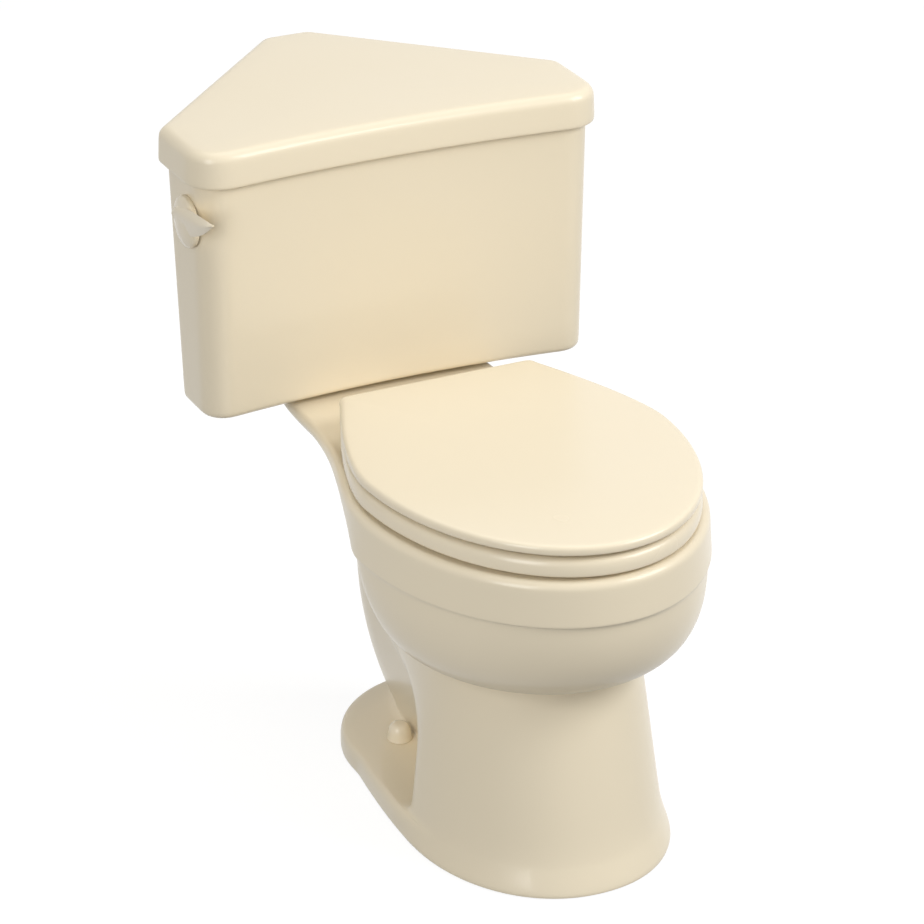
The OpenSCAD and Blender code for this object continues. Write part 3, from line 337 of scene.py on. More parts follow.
def put_in_place(bm, centre, axis):
    """Turns a shape made along Z to another axis, moves it, and changes millimetres to metres."""
    turn = Vector(axis).to_track_quat("Z", "Y").to_matrix().to_4x4()
    bmesh.ops.transform(bm, matrix=Matrix.Scale(MM, 4) @ Matrix.Translation(centre) @ turn, verts=bm.verts)


def rod(name, start, end, radius, bevel=0.0):
    """A round bar between two points, used as a pin, an ear or a drill."""
    start, end = Vector(start), Vector(end)
    bm = bmesh.new()
    bmesh.ops.create_cone(bm, cap_ends=True, segments=64, radius1=radius, radius2=radius,
                          depth=(end - start).length)
    if bevel:
        rims = [e for e in bm.edges if len(e.link_faces) == 2 and e.calc_face_angle(0.0) > 1.0]
        bmesh.ops.bevel(bm, geom=rims, offset=bevel, affect="EDGES", segments=3, profile=0.5, material=-1)
    put_in_place(bm, (start + end) / 2, end - start)
    return new_object(name, bm)


def upright(name, x, y, low, high, radius):
    """A round bar that stands on end, mostly used as a drill."""
    return rod(name, (x, y, low), (x, y, high), radius)


def block(name, low, high, bevel):
    """A box between two corners, with rounded edges."""
    low, high = Vector(low), Vector(high)
    bm = bmesh.new()
    bmesh.ops.create_cube(bm, size=1.0)
    bmesh.ops.scale(bm, vec=high - low, verts=bm.verts)
    bmesh.ops.translate(bm, vec=(low + high) / 2, verts=bm.verts)
    bmesh.ops.bevel(bm, geom=bm.edges[:], offset=bevel, affect="EDGES", segments=3, profile=0.5, material=-1)
    bmesh.ops.scale(bm, vec=(MM, MM, MM), verts=bm.verts)
    return new_object(name, bm)


def turned(name, profile, centre, steps, axis=(0, 0, 1)):
    """Spins a profile of (radius, height) points round an axis, as on a lathe."""
    bm = bmesh.new()
    verts = [bm.verts.new((r, 0.0, z)) for r, z in profile]
    edges = [bm.edges.new((verts[k], verts[k + 1])) for k in range(len(verts) - 1)]
    bmesh.ops.spin(bm, geom=verts + edges, cent=(0, 0, 0), axis=(0, 0, 1), angle=math.tau, steps=steps,
                   use_merge=True)
    bmesh.ops.remove_doubles(bm, verts=bm.verts, dist=1e-4)
    put_in_place(bm, centre, axis)
    return new_object(name, bm)


# %% [markdown]
# ## The bowl: sizes
# The bowl is the hardest casting. One skin runs from the foot up the pedestal, out over the belly, up the
# band, over the rim and down inside to the sump. These are its main sizes, the same as in the CAD part.

# %% Bowl sizes
rim_h, rim_front, rim_w, rim_mid = 391, 388, 379, 139
band_h, band_step, deck_drop, deck_w, deck_back, edge_r = 50, 4, 14, 254, 311, 9
mouth_w, mouth_front, mouth_back, rim_wall_h, channel_cut, sump_z = 244, 328, 14, 25, 11, 66
foot_front, foot_w, foot_back, foot_mid, ledge_h = 351, 290, 138, 165, 28
waist_z, waist_w, waist_front, skirt_edge = 235, 228, 290, 147
column_foot_w, column_w, column_back, recess_h, sole_t = 108, 214, 124, 15, 17
toe_step, flank_step, flare_h = 14, 10, 46
deck_h = rim_h - deck_drop
deck_power, rim_back, deck_tail, front_taper, side_taper = 2.4, 46, 155, 2, 3
top_front, top_half_w = rim_front - front_taper, rim_w / 2 - side_taper
FRONT, SIDE, TAIL, BACK = 20, 12, 4, 14

# %% [markdown]
# ## The bowl: outlines
# Seen from above, the pedestal changes from a foot with long flanks to a skirt that ends in a sharp rear
# edge. Behind that edge lies a pocket with the narrow column of the trapway. One outline function draws
# both kinds, so the loft keeps the same number of points all the way up.

# %% Bowl outlines
def outline(front, w, mid, power, tail_w, tail_y, back, pocket=0.0, inset=0.0, rear_power=2.0,
            flank_power=0.0):
    """Half an outline: a nose, a flank or the skirt's sharp edge, a tail, and a rounded rear."""
    if 0 < pocket < 1:
        smooth = outline(front, w, mid, power, tail_w, tail_y, back, 0, inset, rear_power)
        edged = outline(front, w, mid, power, tail_w, tail_y, back, 1, inset, rear_power)
        return [mixed(p, q, pocket) for p, q in zip(smooth, edged)]
    fw, tw = w - inset, tail_w - inset
    nose = [(x, -mid - y) for x, y in quarter(fw, front - mid - inset, power, FRONT)]
    if pocket:
        edge = -skirt_edge - inset
        flank = SIDE - 7
        side = [(fw - 2.4 * (k / flank) ** 2, lerp(-mid, edge - 3, k / flank)) for k in range(1, flank + 1)]
        side += [(fw - 3.2, edge), (fw - 5.5, edge + 2.6), (fw - 9, edge + 3.4),
                 (lerp(fw, tw, 0.5), edge + 4.2), (tw + 12, edge + 5), (tw + 3.2, edge + 8), (tw, edge + 17)]
    else:
        side = []
        for k in range(1, SIDE + 1):
            t = k / SIDE
            pull = t ** flank_power if flank_power else ease(t ** 0.9)
            side.append((lerp(fw, tw, pull), lerp(-mid, tail_y - 20, t)))
    last = side[-1][1]
    tail = [(tw, lerp(last, tail_y, k / TAIL)) for k in range(1, TAIL + 1)]
    rear = [(x, tail_y + y) for x, y in quarter(tw, back - tail_y - inset, rear_power, BACK)]
    return nose + side + tail + rear[-2::-1]


def share(k):
    """How far point k is along the half outline behind the nose, 0 to 1, at the CAD part's pace."""
    k -= FRONT
    if k <= SIDE:
        return 7 * k / SIDE / 17
    if k <= SIDE + TAIL:
        return (7 + 2 * (k - SIDE) / TAIL) / 17
    return (9 + 8 * (k - SIDE - TAIL) / BACK) / 17


def oval(front, w, mid, back, power, spread=1.0):
    """Half an oval whose points keep pace with those of outline."""
    nose = [(x, -mid - y) for x, y in quarter(w, front - mid, power, FRONT)]
    rest = []
    for k in range(FRONT + 1, FRONT + SIDE + TAIL + BACK + 1):
        a = math.radians(90 * share(k) ** spread)
        rest.append((w * math.cos(a), -mid + (mid + back) * math.sin(a)))
    return nose + rest


def rise(k):
    """Share of the rim's extra height at point k: the front has all of it, the deck none."""
    return 1 - ease(((k - FRONT) / SIDE - 2 / 7) / (4 / 7))


def stepped(half, low, high):
    """Lays an outline at one height in front and at a lower one at the deck."""
    return [(p[0], p[1], lerp(low, high, rise(k))) for k, p in enumerate(half)]


# %% [markdown]
# ## The bowl: sections from foot to sump
# Each function below gives one family of sections. Pairs of sections that lie close together hold an edge
# crisp when the surface is subdivided, and sections further apart let it flow. The nose flares out into the
# foot without a step, and the belly is fuller there than at the sides, so both take their nose from one
# outline and the rest from another.

# %% Foot and skirt
def nose_from(nose, rest):
    """Takes the nose of one outline and the rest of another, and blends them where the sides begin."""
    shares = [1 - ease((k - FRONT + 3) / 6) for k in range(len(rest))]
    return [mixed(p, q, s) for p, q, s in zip(rest, nose, shares)]


def flared(half, z, u, pocket):
    """The nose grows out of the foot in one smooth flare. Only behind the skirt's edge is there a ledge."""
    grown, up = fade(min(1, z / flare_h), 2), z - ledge_h
    toe, flank = grown * (toe_step + up * 0.227), grown * (flank_step + up * 0.101)
    nose = outline(foot_front - toe, foot_w / 2 - flank, foot_mid, lerp(2.1, 2, u), column_foot_w / 2, 10,
                   column_back, pocket)
    return nose_from(nose, half)


def foot(z, inset):
    """The foot's edge, its underside and the hollow in its sole."""
    half = outline(foot_front, foot_w / 2, foot_mid, 2.1, foot_w / 2 - 12, 8, foot_back, 0, inset, 2.0, 1.7)
    return level(whole(flared(half, z, 0, 0) if z > 2 and inset < sole_t else half), z)


def skirt(z, spread=0.0):
    """The pedestal from the ledge to the waist. Its pocket closes about halfway up."""
    u = max(0.0, (z - ledge_h) / (waist_z - ledge_h))
    pocket = 1 - ease((u - 0.42) / 0.42)
    half = outline(lerp(foot_front - toe_step, waist_front, u), lerp(foot_w / 2 - flank_step, waist_w / 2, u),
                   foot_mid, lerp(2.1, 2, u), lerp(column_foot_w / 2, column_w / 2, fade(u, 1.9)),
                   lerp(10, 20, u), column_back, pocket, -spread)
    return level(whole(flared(half, z, u, pocket) if z < flare_h else half), z)


# %% Belly and band
def belly(u):
    """The bulge under the band is fuller at the nose than at the sides."""
    halves = []
    for power in (2.4, 2.0):
        out = (1 - (1 - u) ** power) ** (1 / power)
        halves.append(outline(
            lerp(waist_front, rim_front - band_step, out), lerp(waist_w / 2, rim_w / 2 - band_step, out),
            lerp(foot_mid, rim_mid, u), 2, lerp(column_w / 2, deck_w / 2 - 28, u), lerp(20, 70, u),
            lerp(column_back, deck_back - 96, u * u)))
    return level(whole(nose_from(*halves)), lerp(waist_z - 5, rim_h - band_h, u))


def band(t, inset=0.0):
    """The upright band under the rim, which sinks to the deck's level at the rear."""
    half = outline(rim_front - front_taper * t, rim_w / 2 - side_taper * t, rim_mid, 2,
                   deck_w / 2 - 24 * (1 - t) ** 1.5, lerp(80, deck_tail, fade(t, 1.6)),
                   lerp(deck_back - 82, deck_back, fade(t, 1.6)), 0, inset, lerp(2, deck_power, t))
    foot_of_band = rim_h - band_h
    return whole(stepped(half, lerp(foot_of_band, deck_h - edge_r, t), lerp(foot_of_band, rim_h - edge_r, t)))


def top_edge(degrees):
    """The rounded edge of the band, part of the way round its quarter circle."""
    inward, down = quarter_turn(degrees)
    half = outline(top_front, top_half_w, rim_mid, 2, deck_w / 2, deck_tail, deck_back, 0,
                   edge_r * inward, deck_power)
    drop = edge_r * down
    return whole(stepped(half, deck_h - drop, rim_h - drop))


# %% Rim and basin
def rim_top(inset, low):
    """The flat top: an oval at the level of the rim, with the deck's outline at its rear."""
    edge = edge_r + inset
    out = outline(top_front, top_half_w, rim_mid, 2, deck_w / 2, deck_tail, deck_back, 0, edge, deck_power)
    ov = oval(top_front - edge, top_half_w - edge, rim_mid, rim_back - inset, 2, 0.62)
    half = []
    for k in range(len(out)):
        s = rise(k)
        half.append((lerp(ov[k][0], out[k][0], s), lerp(ov[k][1], out[k][1], s), lerp(low, rim_h, s)))
    return whole(half)


def basin(z, front, w, back):
    """A section of the hollow inside, from the mouth down to the sump."""
    mid = lerp((front - back) / 2, rim_mid + 20, 0.5)
    return level(whole(oval(front, w, mid, back, 2.1)), z)


# %% Bowl mesh
def bowl_sections():
    """The one skin: sole, foot, pedestal, belly, band, rim, mouth and basin, down to the sump."""
    sole = [(recess_h, 70), (recess_h, sole_t + 12), (recess_h - 1, sole_t + 5), (recess_h - 6, sole_t + 1.5),
            (1.5, sole_t), (0, sole_t - 2), (0, 4), (0.9, 1.1)]
    side = [(4, 0), (ledge_h * 0.35, 0), (ledge_h * 0.6, 0), (ledge_h - 5, 1), (ledge_h - 1.6, 3.2),
            (ledge_h - 0.2, 6.5)]
    rows = [foot(z, inset) for z, inset in sole + side]
    rows += [skirt(ledge_h, 5), skirt(ledge_h + 1.6, 1.8), skirt(ledge_h + 6, 0.2)]
    rows += [skirt(lerp(ledge_h, waist_z, u)) for u in (0.1, 0.2, 0.32, 0.45, 0.58, 0.7, 0.8, 0.9, 0.96)]
    rows += [belly(1 - math.cos(math.radians(a))) for a in (0, 7, 16, 26, 36, 46, 56, 66, 76, 84, 90)]
    rows += [band(0, 0.7), band(0.03), band(0.12), band(0.3), band(0.5), band(0.7), band(0.88)]
    rows += [top_edge(a) for a in (0, 20, 45, 70, 90)]
    rows += [rim_top(1, deck_h), rim_top(2, deck_h + 1.5), rim_top(4.2, rim_h - 1.2), rim_top(6, rim_h)]
    lip, cut = rim_h - rim_wall_h, channel_cut
    inner = [(rim_h, 9, 9, -9), (rim_h, 6, 6, -6), (rim_h - 1.2, 3, 3, -3), (rim_h - 4, 0.8, 0.8, -0.8),
             (rim_h - 9, 0, 0, 0), (lip + 3, 0, 0, 0), (lip, 1, 1, -1), (lip - 1.5, 4, 4, -4),
             (lip - 3, cut, cut, -cut), (lip - 12, cut + 2.5, cut + 2.5, -cut),
             (lip - 26, cut + 2, cut + 2, 0)]
    rows += [basin(z, mouth_front + f, mouth_w / 2 + w, -mouth_back - b) for z, f, w, b in inner]
    deep = [(lerp(waist_z, rim_h, 0.40), -2, 2, -44), (lerp(waist_z, rim_h, 0.12), -30, -18, -78),
            (lerp(sump_z, waist_z, 0.78), -62, -46, -104), (lerp(sump_z, waist_z, 0.50), -92, -70, -113),
            (lerp(sump_z, waist_z, 0.26), -112, -84, -120), (lerp(sump_z, waist_z, 0.08), -126, -94, -130),
            (sump_z + 1.5, -140, -104, -144), (sump_z, -156, -114, -158)]
    return rows + [basin(z, mouth_front + f, mouth_w / 2 + w, b) for z, f, w, b in deep]


bm = bmesh.new()
loft(bm, bowl_sections())
bowl = new_object("bowl_china", bm)
round_off(bowl)
print("bowl faces after rounding:", len(bowl.data.polygons))

# %% [markdown]
# ## The bowl: drilling
# The passages are cut last, as a caster punches holes in the soft clay. The trapway is a round tube that
# leaves the sump, climbs, turns over and drops to the outlet. It is lofted along its own path and then taken
# out of the bowl with a Boolean. Each drill runs a little past the surface, so that it breaks through.

# %% Trapway and holes
trap_r, trap_bend, trap_z = 27, 36, 192
elbow_r, leg_y, passage_z = trap_r + 8, -2 * trap_bend, sump_z + trap_r + 1


def trap_path():
    """Points (y, z, slope) from the sump up through the elbow, over the bend and down to the floor."""
    path = [(-165, passage_z, 0), (-136, passage_z, 0)]
    for a in range(0, 91, 15):
        r = math.radians(a)
        path.append((leg_y - elbow_r + elbow_r * math.sin(r), passage_z + elbow_r * (1 - math.cos(r)), a))
    for a in range(0, 181, 15):
        r = math.radians(a)
        path.append((-trap_bend - trap_bend * math.cos(r), trap_z + trap_bend * math.sin(r), 90 - a))
    return path + [(0, 60, -90), (0, -4, -90)]


def tube_section(y, z, slope, radius, count=48):
    """A circle square to a path that runs in the YZ plane with the given slope in degrees."""
    up = (-math.sin(math.radians(slope)), math.cos(math.radians(slope)))
    angles = [math.tau * k / count for k in range(count)]
    return [(radius * math.cos(a), y + up[0] * radius * math.sin(a), z + up[1] * radius * math.sin(a))
            for a in angles]


bm = bmesh.new()
loft(bm, [tube_section(y, z, s, trap_r) for y, z, s in trap_path()])
passage = new_object("trapway_core", bm)
horn = rod("outlet_horn", (0, 0, 0), (0, 0, recess_h + 3), trap_r + 11, bevel=1.2)
combine(bowl, [horn], "UNION")

valve_y, shank_r, gasket_r, bolt_hole_r, tank_bolt_x, floor_bolt_x = 252, 28, 46, 7, 82, 76.2
seat_bolt_x, seat_bolt_y, past = 70, 99, 1
drills = [passage,
          upright("inlet_core", 0, valve_y, deck_h - 60, deck_h + past, shank_r + 3),
          upright("gasket_seat", 0, valve_y, deck_h - 18, deck_h + past, gasket_r + 3),
          rod("flush_channel", (0, -20, deck_h - 40), (0, 246, deck_h - 40), 15)]
for side in (-1, 1):
    seat_x, tank_x = side * seat_bolt_x, side * tank_bolt_x
    drills.append(upright("floor_bolt_core", side * floor_bolt_x, 0, -past, ledge_h + past, bolt_hole_r))
    drills.append(upright("seat_bolt_core", seat_x, seat_bolt_y, deck_h - 24, deck_h + 6, bolt_hole_r))
    drills.append(upright("tank_bolt_core", tank_x, valve_y, deck_h - 60, deck_h + past, bolt_hole_r))
    drills.append(upright("bolt_facing", tank_x, valve_y, deck_h - 80, deck_h - 20, 15))
    x = sorted((side * 48, side * 86))
    low, high = (x[0], seat_bolt_y - 24, deck_h - 78), (x[1], 386, deck_h - 22)
    drills.append(block("seat_bolt_pocket", low, high, bevel=5))
combine(bowl, drills, "DIFFERENCE")
mark_sharp(bowl, 40)
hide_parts("bowl")
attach(bowl, "china")
print("bowl faces after drilling:", len(bowl.data.polygons))

# %% [markdown]
# ## The tank
# The tank fits a room's corner: a bowed front, two short ends and two faces at 45 degrees. One plan function
# draws that shape at any size. The tank is lofted up its outside, over its rim and down its inside,
# so it is a real open box with a wall, and the holes for its valves, bolts and lever are drilled through.

# %% Corner plan
def rounded_corner(a, b, c, r, steps):
    """Points of an arc of radius r that rounds corner b between a and c."""
    a, b, c = Vector(a), Vector(b), Vector(c)
    u, v = (a - b).normalized(), (c - b).normalized()
    half = math.acos(max(-1, min(1, u.dot(v)))) / 2
    p, q = b + u * r / math.tan(half), b + v * r / math.tan(half)
    o = b + (u + v).normalized() * r / math.sin(half)
    a0, a1 = math.atan2(p.y - o.y, p.x - o.x), math.atan2(q.y - o.y, q.x - o.x)
    turn = (a1 - a0 + math.pi) % math.tau - math.pi
    angles = [a0 + turn * k / steps for k in range(steps + 1)]
    return [(o.x + r * math.cos(a), o.y + r * math.sin(a)) for a in angles]


def corner_plan(w, front, apex, back, bow, r, r_end, r_back):
    """The plan of tank and lid: bowed front, short ends, two faces at 45 degrees, and a short rear."""
    end, cut = apex - w, apex - back
    fr, er, br, mid, rear = (w, front), (w, end), (cut, back), (0, front), (0, back)
    half = [((w - r) * k / 13, front) for k in range(13)]
    front_arc = rounded_corner(mid, fr, er, r, 9)
    end_arc = rounded_corner(fr, er, br, r_end, 4)
    rear_arc = rounded_corner(er, br, rear, r_back, 4)
    half += front_arc + [mixed(front_arc[-1], end_arc[0], 0.5)] + end_arc
    half += [mixed(end_arc[-1], rear_arc[0], t) for t in (0.05, 0.35, 0.65, 0.95)]
    half += rear_arc + [rear]
    return whole([(x, y + bow * (1 - (x / w) ** 2) * max(0, 1 - (y - front) / (end - front)))
                  for x, y in half])


def drawn_in(section, middle, scale, z):
    """A section pulled towards a point in its middle, for the inner rings of a flat or crowned face."""
    return [(lerp(middle[0], p[0], scale), lerp(middle[1], p[1], scale), z) for p in section]


# %% Tank mesh
tank_z, tank_h, tank_front, tank_bow, tank_w, tank_flare = deck_h + 7, 288, 137, 17.5, 464, 7
tank_apex, tank_back, tank_lean, rear_lean, tank_t, tank_corner, tank_edge = 479, 454, 8, 22, 11, 38, 8
tank_floor, tank_top = tank_z + tank_t + 1, tank_z + tank_h
tank_middle = (0, 260)


def tank_section(z, inset):
    """The tank's plan at one height. It widens a little towards the top."""
    t = (z - tank_z) / tank_h
    w = tank_w / 2 + tank_flare / 2 * t - inset
    shrink = rear_lean * (1 - t)
    plan = corner_plan(w, tank_front + tank_lean * (1 - t) + inset,
                       tank_apex - shrink - inset * math.sqrt(2), tank_back - shrink - inset, tank_bow,
                       max(4, tank_corner - 6 * (1 - t) - inset),
                       max(3, 15 - inset / 2), max(3, 14 - inset / 2))
    return level(plan, z)


def tank_sections():
    """From the middle of the underside, up the outside, over the rim, and down to the middle of the floor."""
    rows = [drawn_in(tank_section(tank_z, 25), tank_middle, f, tank_z) for f in (0.35, 0.8)]
    rows += [tank_section(tank_z, tank_edge + 4), tank_section(tank_z, tank_edge)]
    for up, inward in map(quarter_turn, (20, 40, 60, 80)):
        rows.append(tank_section(tank_z + tank_edge * up, tank_edge * inward))
    rows += [tank_section(tank_z + z, 0) for z in (12, 60, 140, 220, 275)]
    over_rim = [(3, 0), (0.9, 0.8), (0, 3), (0, tank_t - 3), (0.9, tank_t - 0.8), (3, tank_t)]
    rows += [tank_section(tank_top - down, inward) for down, inward in over_rim]
    rows += [tank_section(tank_z + z, tank_t) for z in (275, 140, 30)]
    inner = tank_edge - 3
    for up, inward in map(quarter_turn, (80, 50, 20)):
        rows.append(tank_section(tank_floor + inner * up, tank_t + inner * inward))
    rows.append(tank_section(tank_floor, tank_t + 8))
    last = tank_section(tank_floor, tank_t + 20)
    return rows + [drawn_in(last, tank_middle, f, tank_floor) for f in (0.8, 0.35)]


bm = bmesh.new()
loft(bm, tank_sections())
tank = new_object("tank_china", bm)
round_off(tank)
lever_y, lever_up, fill_x, fill_y = 184, 227, 100, 300
lever_z = tank_z + lever_up
low, high = tank_z - past, tank_z + 20
drills = [upright("valve_hole", 0, valve_y, low, high, shank_r + 3),
          upright("inlet_hole", -fill_x, fill_y, low, high, 13),
          rod("lever_hole", (-252, lever_y, lever_z), (-200, lever_y, lever_z), 9.8)]
for side in (-1, 1):
    drills.append(upright("tank_bolt_hole", side * tank_bolt_x, valve_y, low, high, bolt_hole_r))
combine(tank, drills, "DIFFERENCE")
mark_sharp(tank, 40)
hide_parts("tank")
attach(tank, "china")
print("tank faces:", len(tank.data.polygons))

# %% [markdown]
# ## The tank's lid
# The lid repeats the tank's plan a little larger. Its apron hangs over the tank's rim, and its top rolls over
# in a wide soft edge that catches a long highlight. The top is slightly crowned, so water runs off.

# %% Lid mesh
lid_over, lid_h, apron_h, lid_t, lid_roll, lid_gap = 9.5, 42.5, 12, 10, 13, 2
lid_z, lid_corner = tank_top - apron_h, 47
lid_top = lid_z + lid_h
lid_middle = (0, 250)


def lid_section(z, inset):
    """The lid's plan, drawn in by inset from its apron."""
    out = lid_over - inset
    plan = corner_plan(tank_w / 2 + tank_flare / 2 + lid_over - inset, tank_front - lid_over + inset,
                       tank_apex + out * math.sqrt(2), tank_back + lid_over - inset, tank_bow,
                       max(5, lid_corner - inset), max(4, 18 - inset / 2), max(4, 18 - inset / 2))
    return level(plan, z)


def lid_sections():
    """From the middle of the hollow underside, out over the seat, round the apron, and up to the crown."""
    seat, roof, wall, skin = tank_top + 0.3, lid_top - lid_t, tank_t + lid_over, lid_over - lid_gap
    rim = lid_section(0, 40)
    rows = [drawn_in(lid_section(0, 45), lid_middle, 0.4, roof)]
    path = [(roof, wall + 22), (roof - 1, wall + 12), (roof - 5, wall + 8), (seat, wall + 6),
            (seat, wall + 3), (seat, skin + 1), (seat - 1, skin), (lid_z + 2, skin - 0.5),
            (lid_z + 0.4, skin - 1.2), (lid_z, skin - 2.4), (lid_z, 2), (lid_z + 0.6, 0.6), (lid_z + 2.5, 0),
            (lid_z + 14, 0.5), (lid_top - lid_roll - 2, 1)]
    rows += [lid_section(z, inset) for z, inset in path]
    for inward, down in map(quarter_turn, (15, 30, 45, 60, 75, 90)):
        rows.append(lid_section(lid_top - 2 - lid_roll * down, 1 + lid_roll * inward))
    rows += [lid_section(lid_top - 1.5, 24), drawn_in(rim, lid_middle, 1.0, lid_top - 1)]
    return rows + [drawn_in(rim, lid_middle, f, lid_top - 0.2 - 0.8 * f) for f in (0.75, 0.5, 0.25)]


bm = bmesh.new()
loft(bm, lid_sections())
lid = new_object("tank_lid_china", bm)
round_off(lid)
mark_sharp(lid, 50)
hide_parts("tank_lid")
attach(lid, "lid")
print("lid faces:", len(lid.data.polygons))

# %% [markdown]
# ## Seat ring
# The ring is moulded plastic. Its section is lofted once round as a set of nested loops, from the outer foot
# over the crown to the inner foot, and the last loop is bridged back to the first. Ears for the hinge pins
# are welded on behind.

# %% Seat outlines
seat_w, seat_front, seat_mid, seat_back, seat_rear_w = 358, 382, 128, 63, 238
ring_z, ring_t = rim_h + 4.5, 20
ring_top = ring_z + ring_t
cover_z, cover_t, cover_crown = ring_top + 4, 11, 3
hole_w, hole_front, hole_back = 226, 322, 28
hinge_y, hinge_z, hinge_x, post_w, ear_w, ear_r, pin_r = 77, deck_h + 30, 70, 22, 12, 8.5, 4
ear_gap, pin_clear, nose_steps = 0.3, 0.06, 24


def seat_half(inset):
    """Half the seat's outline: an oval nose, a flank that narrows, a small corner and a straight rear."""
    w, rw, back, r = seat_w / 2 - inset, seat_rear_w / 2 - inset, seat_back - inset, 9
    nose = [(x, -seat_mid - y) for x, y in quarter(w, seat_front - seat_mid - inset, 2, nose_steps)]
    flank = [(lerp(w, rw, (k / 12) ** 1.43), lerp(-seat_mid, back - r, k / 12)) for k in range(1, 13)]
    turn = [math.radians(90 * k / 5) for k in range(1, 6)]
    corner = [(rw - r * (1 - math.cos(a)), back - r * (1 - math.sin(a))) for a in turn]
    return nose + flank + corner + [((rw - r) * f, back) for f in (0.8, 0.5, 0.25, 0)]


def hole_half(inset):
    """Half the hole's outline, with as many points as the seat's."""
    count = len(seat_half(0)) - nose_steps - 1
    w, mid = hole_w / 2 + inset, (hole_front + hole_back) / 2 - 8
    nose = [(x, -mid - y) for x, y in quarter(w, hole_front + inset - mid, 2.1, nose_steps)]
    rear = quarter(w, mid - hole_back + inset, 2.1, count)
    return nose + [(x, -mid + y) for x, y in rear[-2::-1]]


# %% Seat ring mesh
def ring_row(across, height, inset):
    """One loop of the ring, part of the way across from its outer edge to its hole."""
    outer = seat_half(inset if across < 0.5 else 0)
    inner = hole_half(inset if across >= 0.5 else 0)
    half = [mixed(a, b, across) for a, b in zip(outer, inner)]
    return level(whole(half), ring_z + height)


outer_side = [(0, 0, 6), (0, 0, 2), (0, 0.7, 0.5), (0, 3, 0), (0, 10, 0), (0, 14, 0.9), (0, 17, 2.6),
              (0, 19, 6), (0, 19.8, 11)]
crown = [(0.35, 20, 0), (0.7, 19, 0)]
inner_side = [(1, 17.4, 8), (1, 16, 3.2), (1, 13, 1), (1, 9, 0), (1, 3, 0.3), (1, 0.6, 1), (1, 0, 3),
              (1, 0, 8)]
bm = bmesh.new()
loft(bm, [ring_row(*row) for row in outer_side + crown + inner_side], closed=True)
seat_ring = new_object("seat_ring_plastic", bm)
round_off(seat_ring)


def hinge_bar(name, x0, x1, radius, bevel=0.0):
    """A round bar on the hinge's axis, for an ear or for the hole through it."""
    return rod(name, (x0, hinge_y, hinge_z), (x1, hinge_y, hinge_z), radius, bevel=bevel)


ears = []
for side in (-1, 1):
    x = side * (hinge_x + post_w / 2 + ear_gap + ear_w / 2)
    x0, x1 = x - ear_w / 2, x + ear_w / 2
    ears.append(hinge_bar("ring_ear", x0, x1, ear_r, bevel=0.8))
    low, high = (x0, seat_back - 12, hinge_z - 4), (x1, hinge_y, hinge_z + 4)
    ears.append(block("ring_ear_web", low, high, bevel=0.6))
combine(seat_ring, ears, "UNION")
combine(seat_ring, [hinge_bar("pin_hole", -140, 140, pin_r + pin_clear)], "DIFFERENCE")
mark_sharp(seat_ring, 40)
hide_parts("seat_ring")
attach(seat_ring, "ring")
print("seat ring faces:", len(seat_ring.data.polygons))

# %% [markdown]
# ## Seat cover
# The cover is one solid, gently crowned board with the seat's outline. Its edge is a small radius at the
# bottom and a larger one at the top. Two webs reach down behind it to the hinge pins, inside the ring's ears.

# %% Seat cover mesh
cover_middle = (0, -seat_mid - 10)


def cover_sections():
    """From the shallow hollow underneath, round the edge, and up to the crown."""
    z0, z1 = cover_z, cover_z + cover_t
    top = level(whole(seat_half(4)), 0)
    rows = [drawn_in(top, cover_middle, 0.3, z0 + 4), drawn_in(top, cover_middle, 0.92, z0 + 4)]
    edge = [(9, z0 + 3.6), (6, z0 + 1.6), (4.5, z0 + 0.2), (3.4, z0), (1.4, z0 + 0.2), (0.4, z0 + 1.1),
            (0, z0 + 2.6), (0, z1 - 5), (0.5, z1 - 3.2), (1.6, z1 - 1.6), (3.4, z1 - 0.5), (6, z1)]
    rows += [level(whole(seat_half(inset)), z) for inset, z in edge]
    dome = [(0.93, 0.22), (0.8, 0.55), (0.6, 0.82), (0.4, 0.94), (0.2, 1)]
    return rows + [drawn_in(top, cover_middle, f, z1 + cover_crown * c) for f, c in dome]


bm = bmesh.new()
loft(bm, cover_sections())
seat_cover = new_object("seat_cover_plastic", bm)
round_off(seat_cover)


def cover_web(x):
    """A curved web that reaches from under the cover's rear edge to its ear."""
    z1 = cover_z + cover_t
    side_view = [(seat_back - 10, cover_z + 5), (seat_back - 2, ring_top + 1.2),
                 (hinge_y - ear_r * 0.5, hinge_z + ear_r * 0.86), (hinge_y, hinge_z),
                 (hinge_y + ear_r * 0.6, hinge_z + ear_r * 0.8), (seat_back - 1, z1 - 2),
                 (seat_back - 10, z1 - 1)]
    bm = bmesh.new()
    face = bm.faces.new([bm.verts.new((x - ear_w / 2, y, z)) for y, z in side_view])
    made = bmesh.ops.extrude_face_region(bm, geom=[face])["geom"]
    bmesh.ops.translate(bm, vec=(ear_w, 0, 0), verts=[g for g in made if isinstance(g, bmesh.types.BMVert)])
    bmesh.ops.scale(bm, vec=(MM, MM, MM), verts=bm.verts)
    return new_object("cover_web", bm)


ears = []
for side in (-1, 1):
    x = side * (hinge_x - post_w / 2 - ear_gap - ear_w / 2)
    ears.append(hinge_bar("cover_ear", x - ear_w / 2, x + ear_w / 2, ear_r, bevel=0.8))
    ears.append(cover_web(x))
combine(seat_cover, ears, "UNION")
combine(seat_cover, [hinge_bar("pin_hole", -140, 140, pin_r + pin_clear)], "DIFFERENCE")
mark_sharp(seat_cover, 40)
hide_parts("seat_cover")
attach(seat_cover, "cover")
print("seat cover faces:", len(seat_cover.data.polygons))

# %% [markdown]
# ## Flush lever
# The lever is one moulding: a round domed boss that hides the bushing, a paddle that rises a little towards
# its tip, and a shaft through the tank's wall. The boss is turned, the paddle is lofted along its length, and
# all are welded together. A thin lip behind the boss's edge covers the bushing's flange.

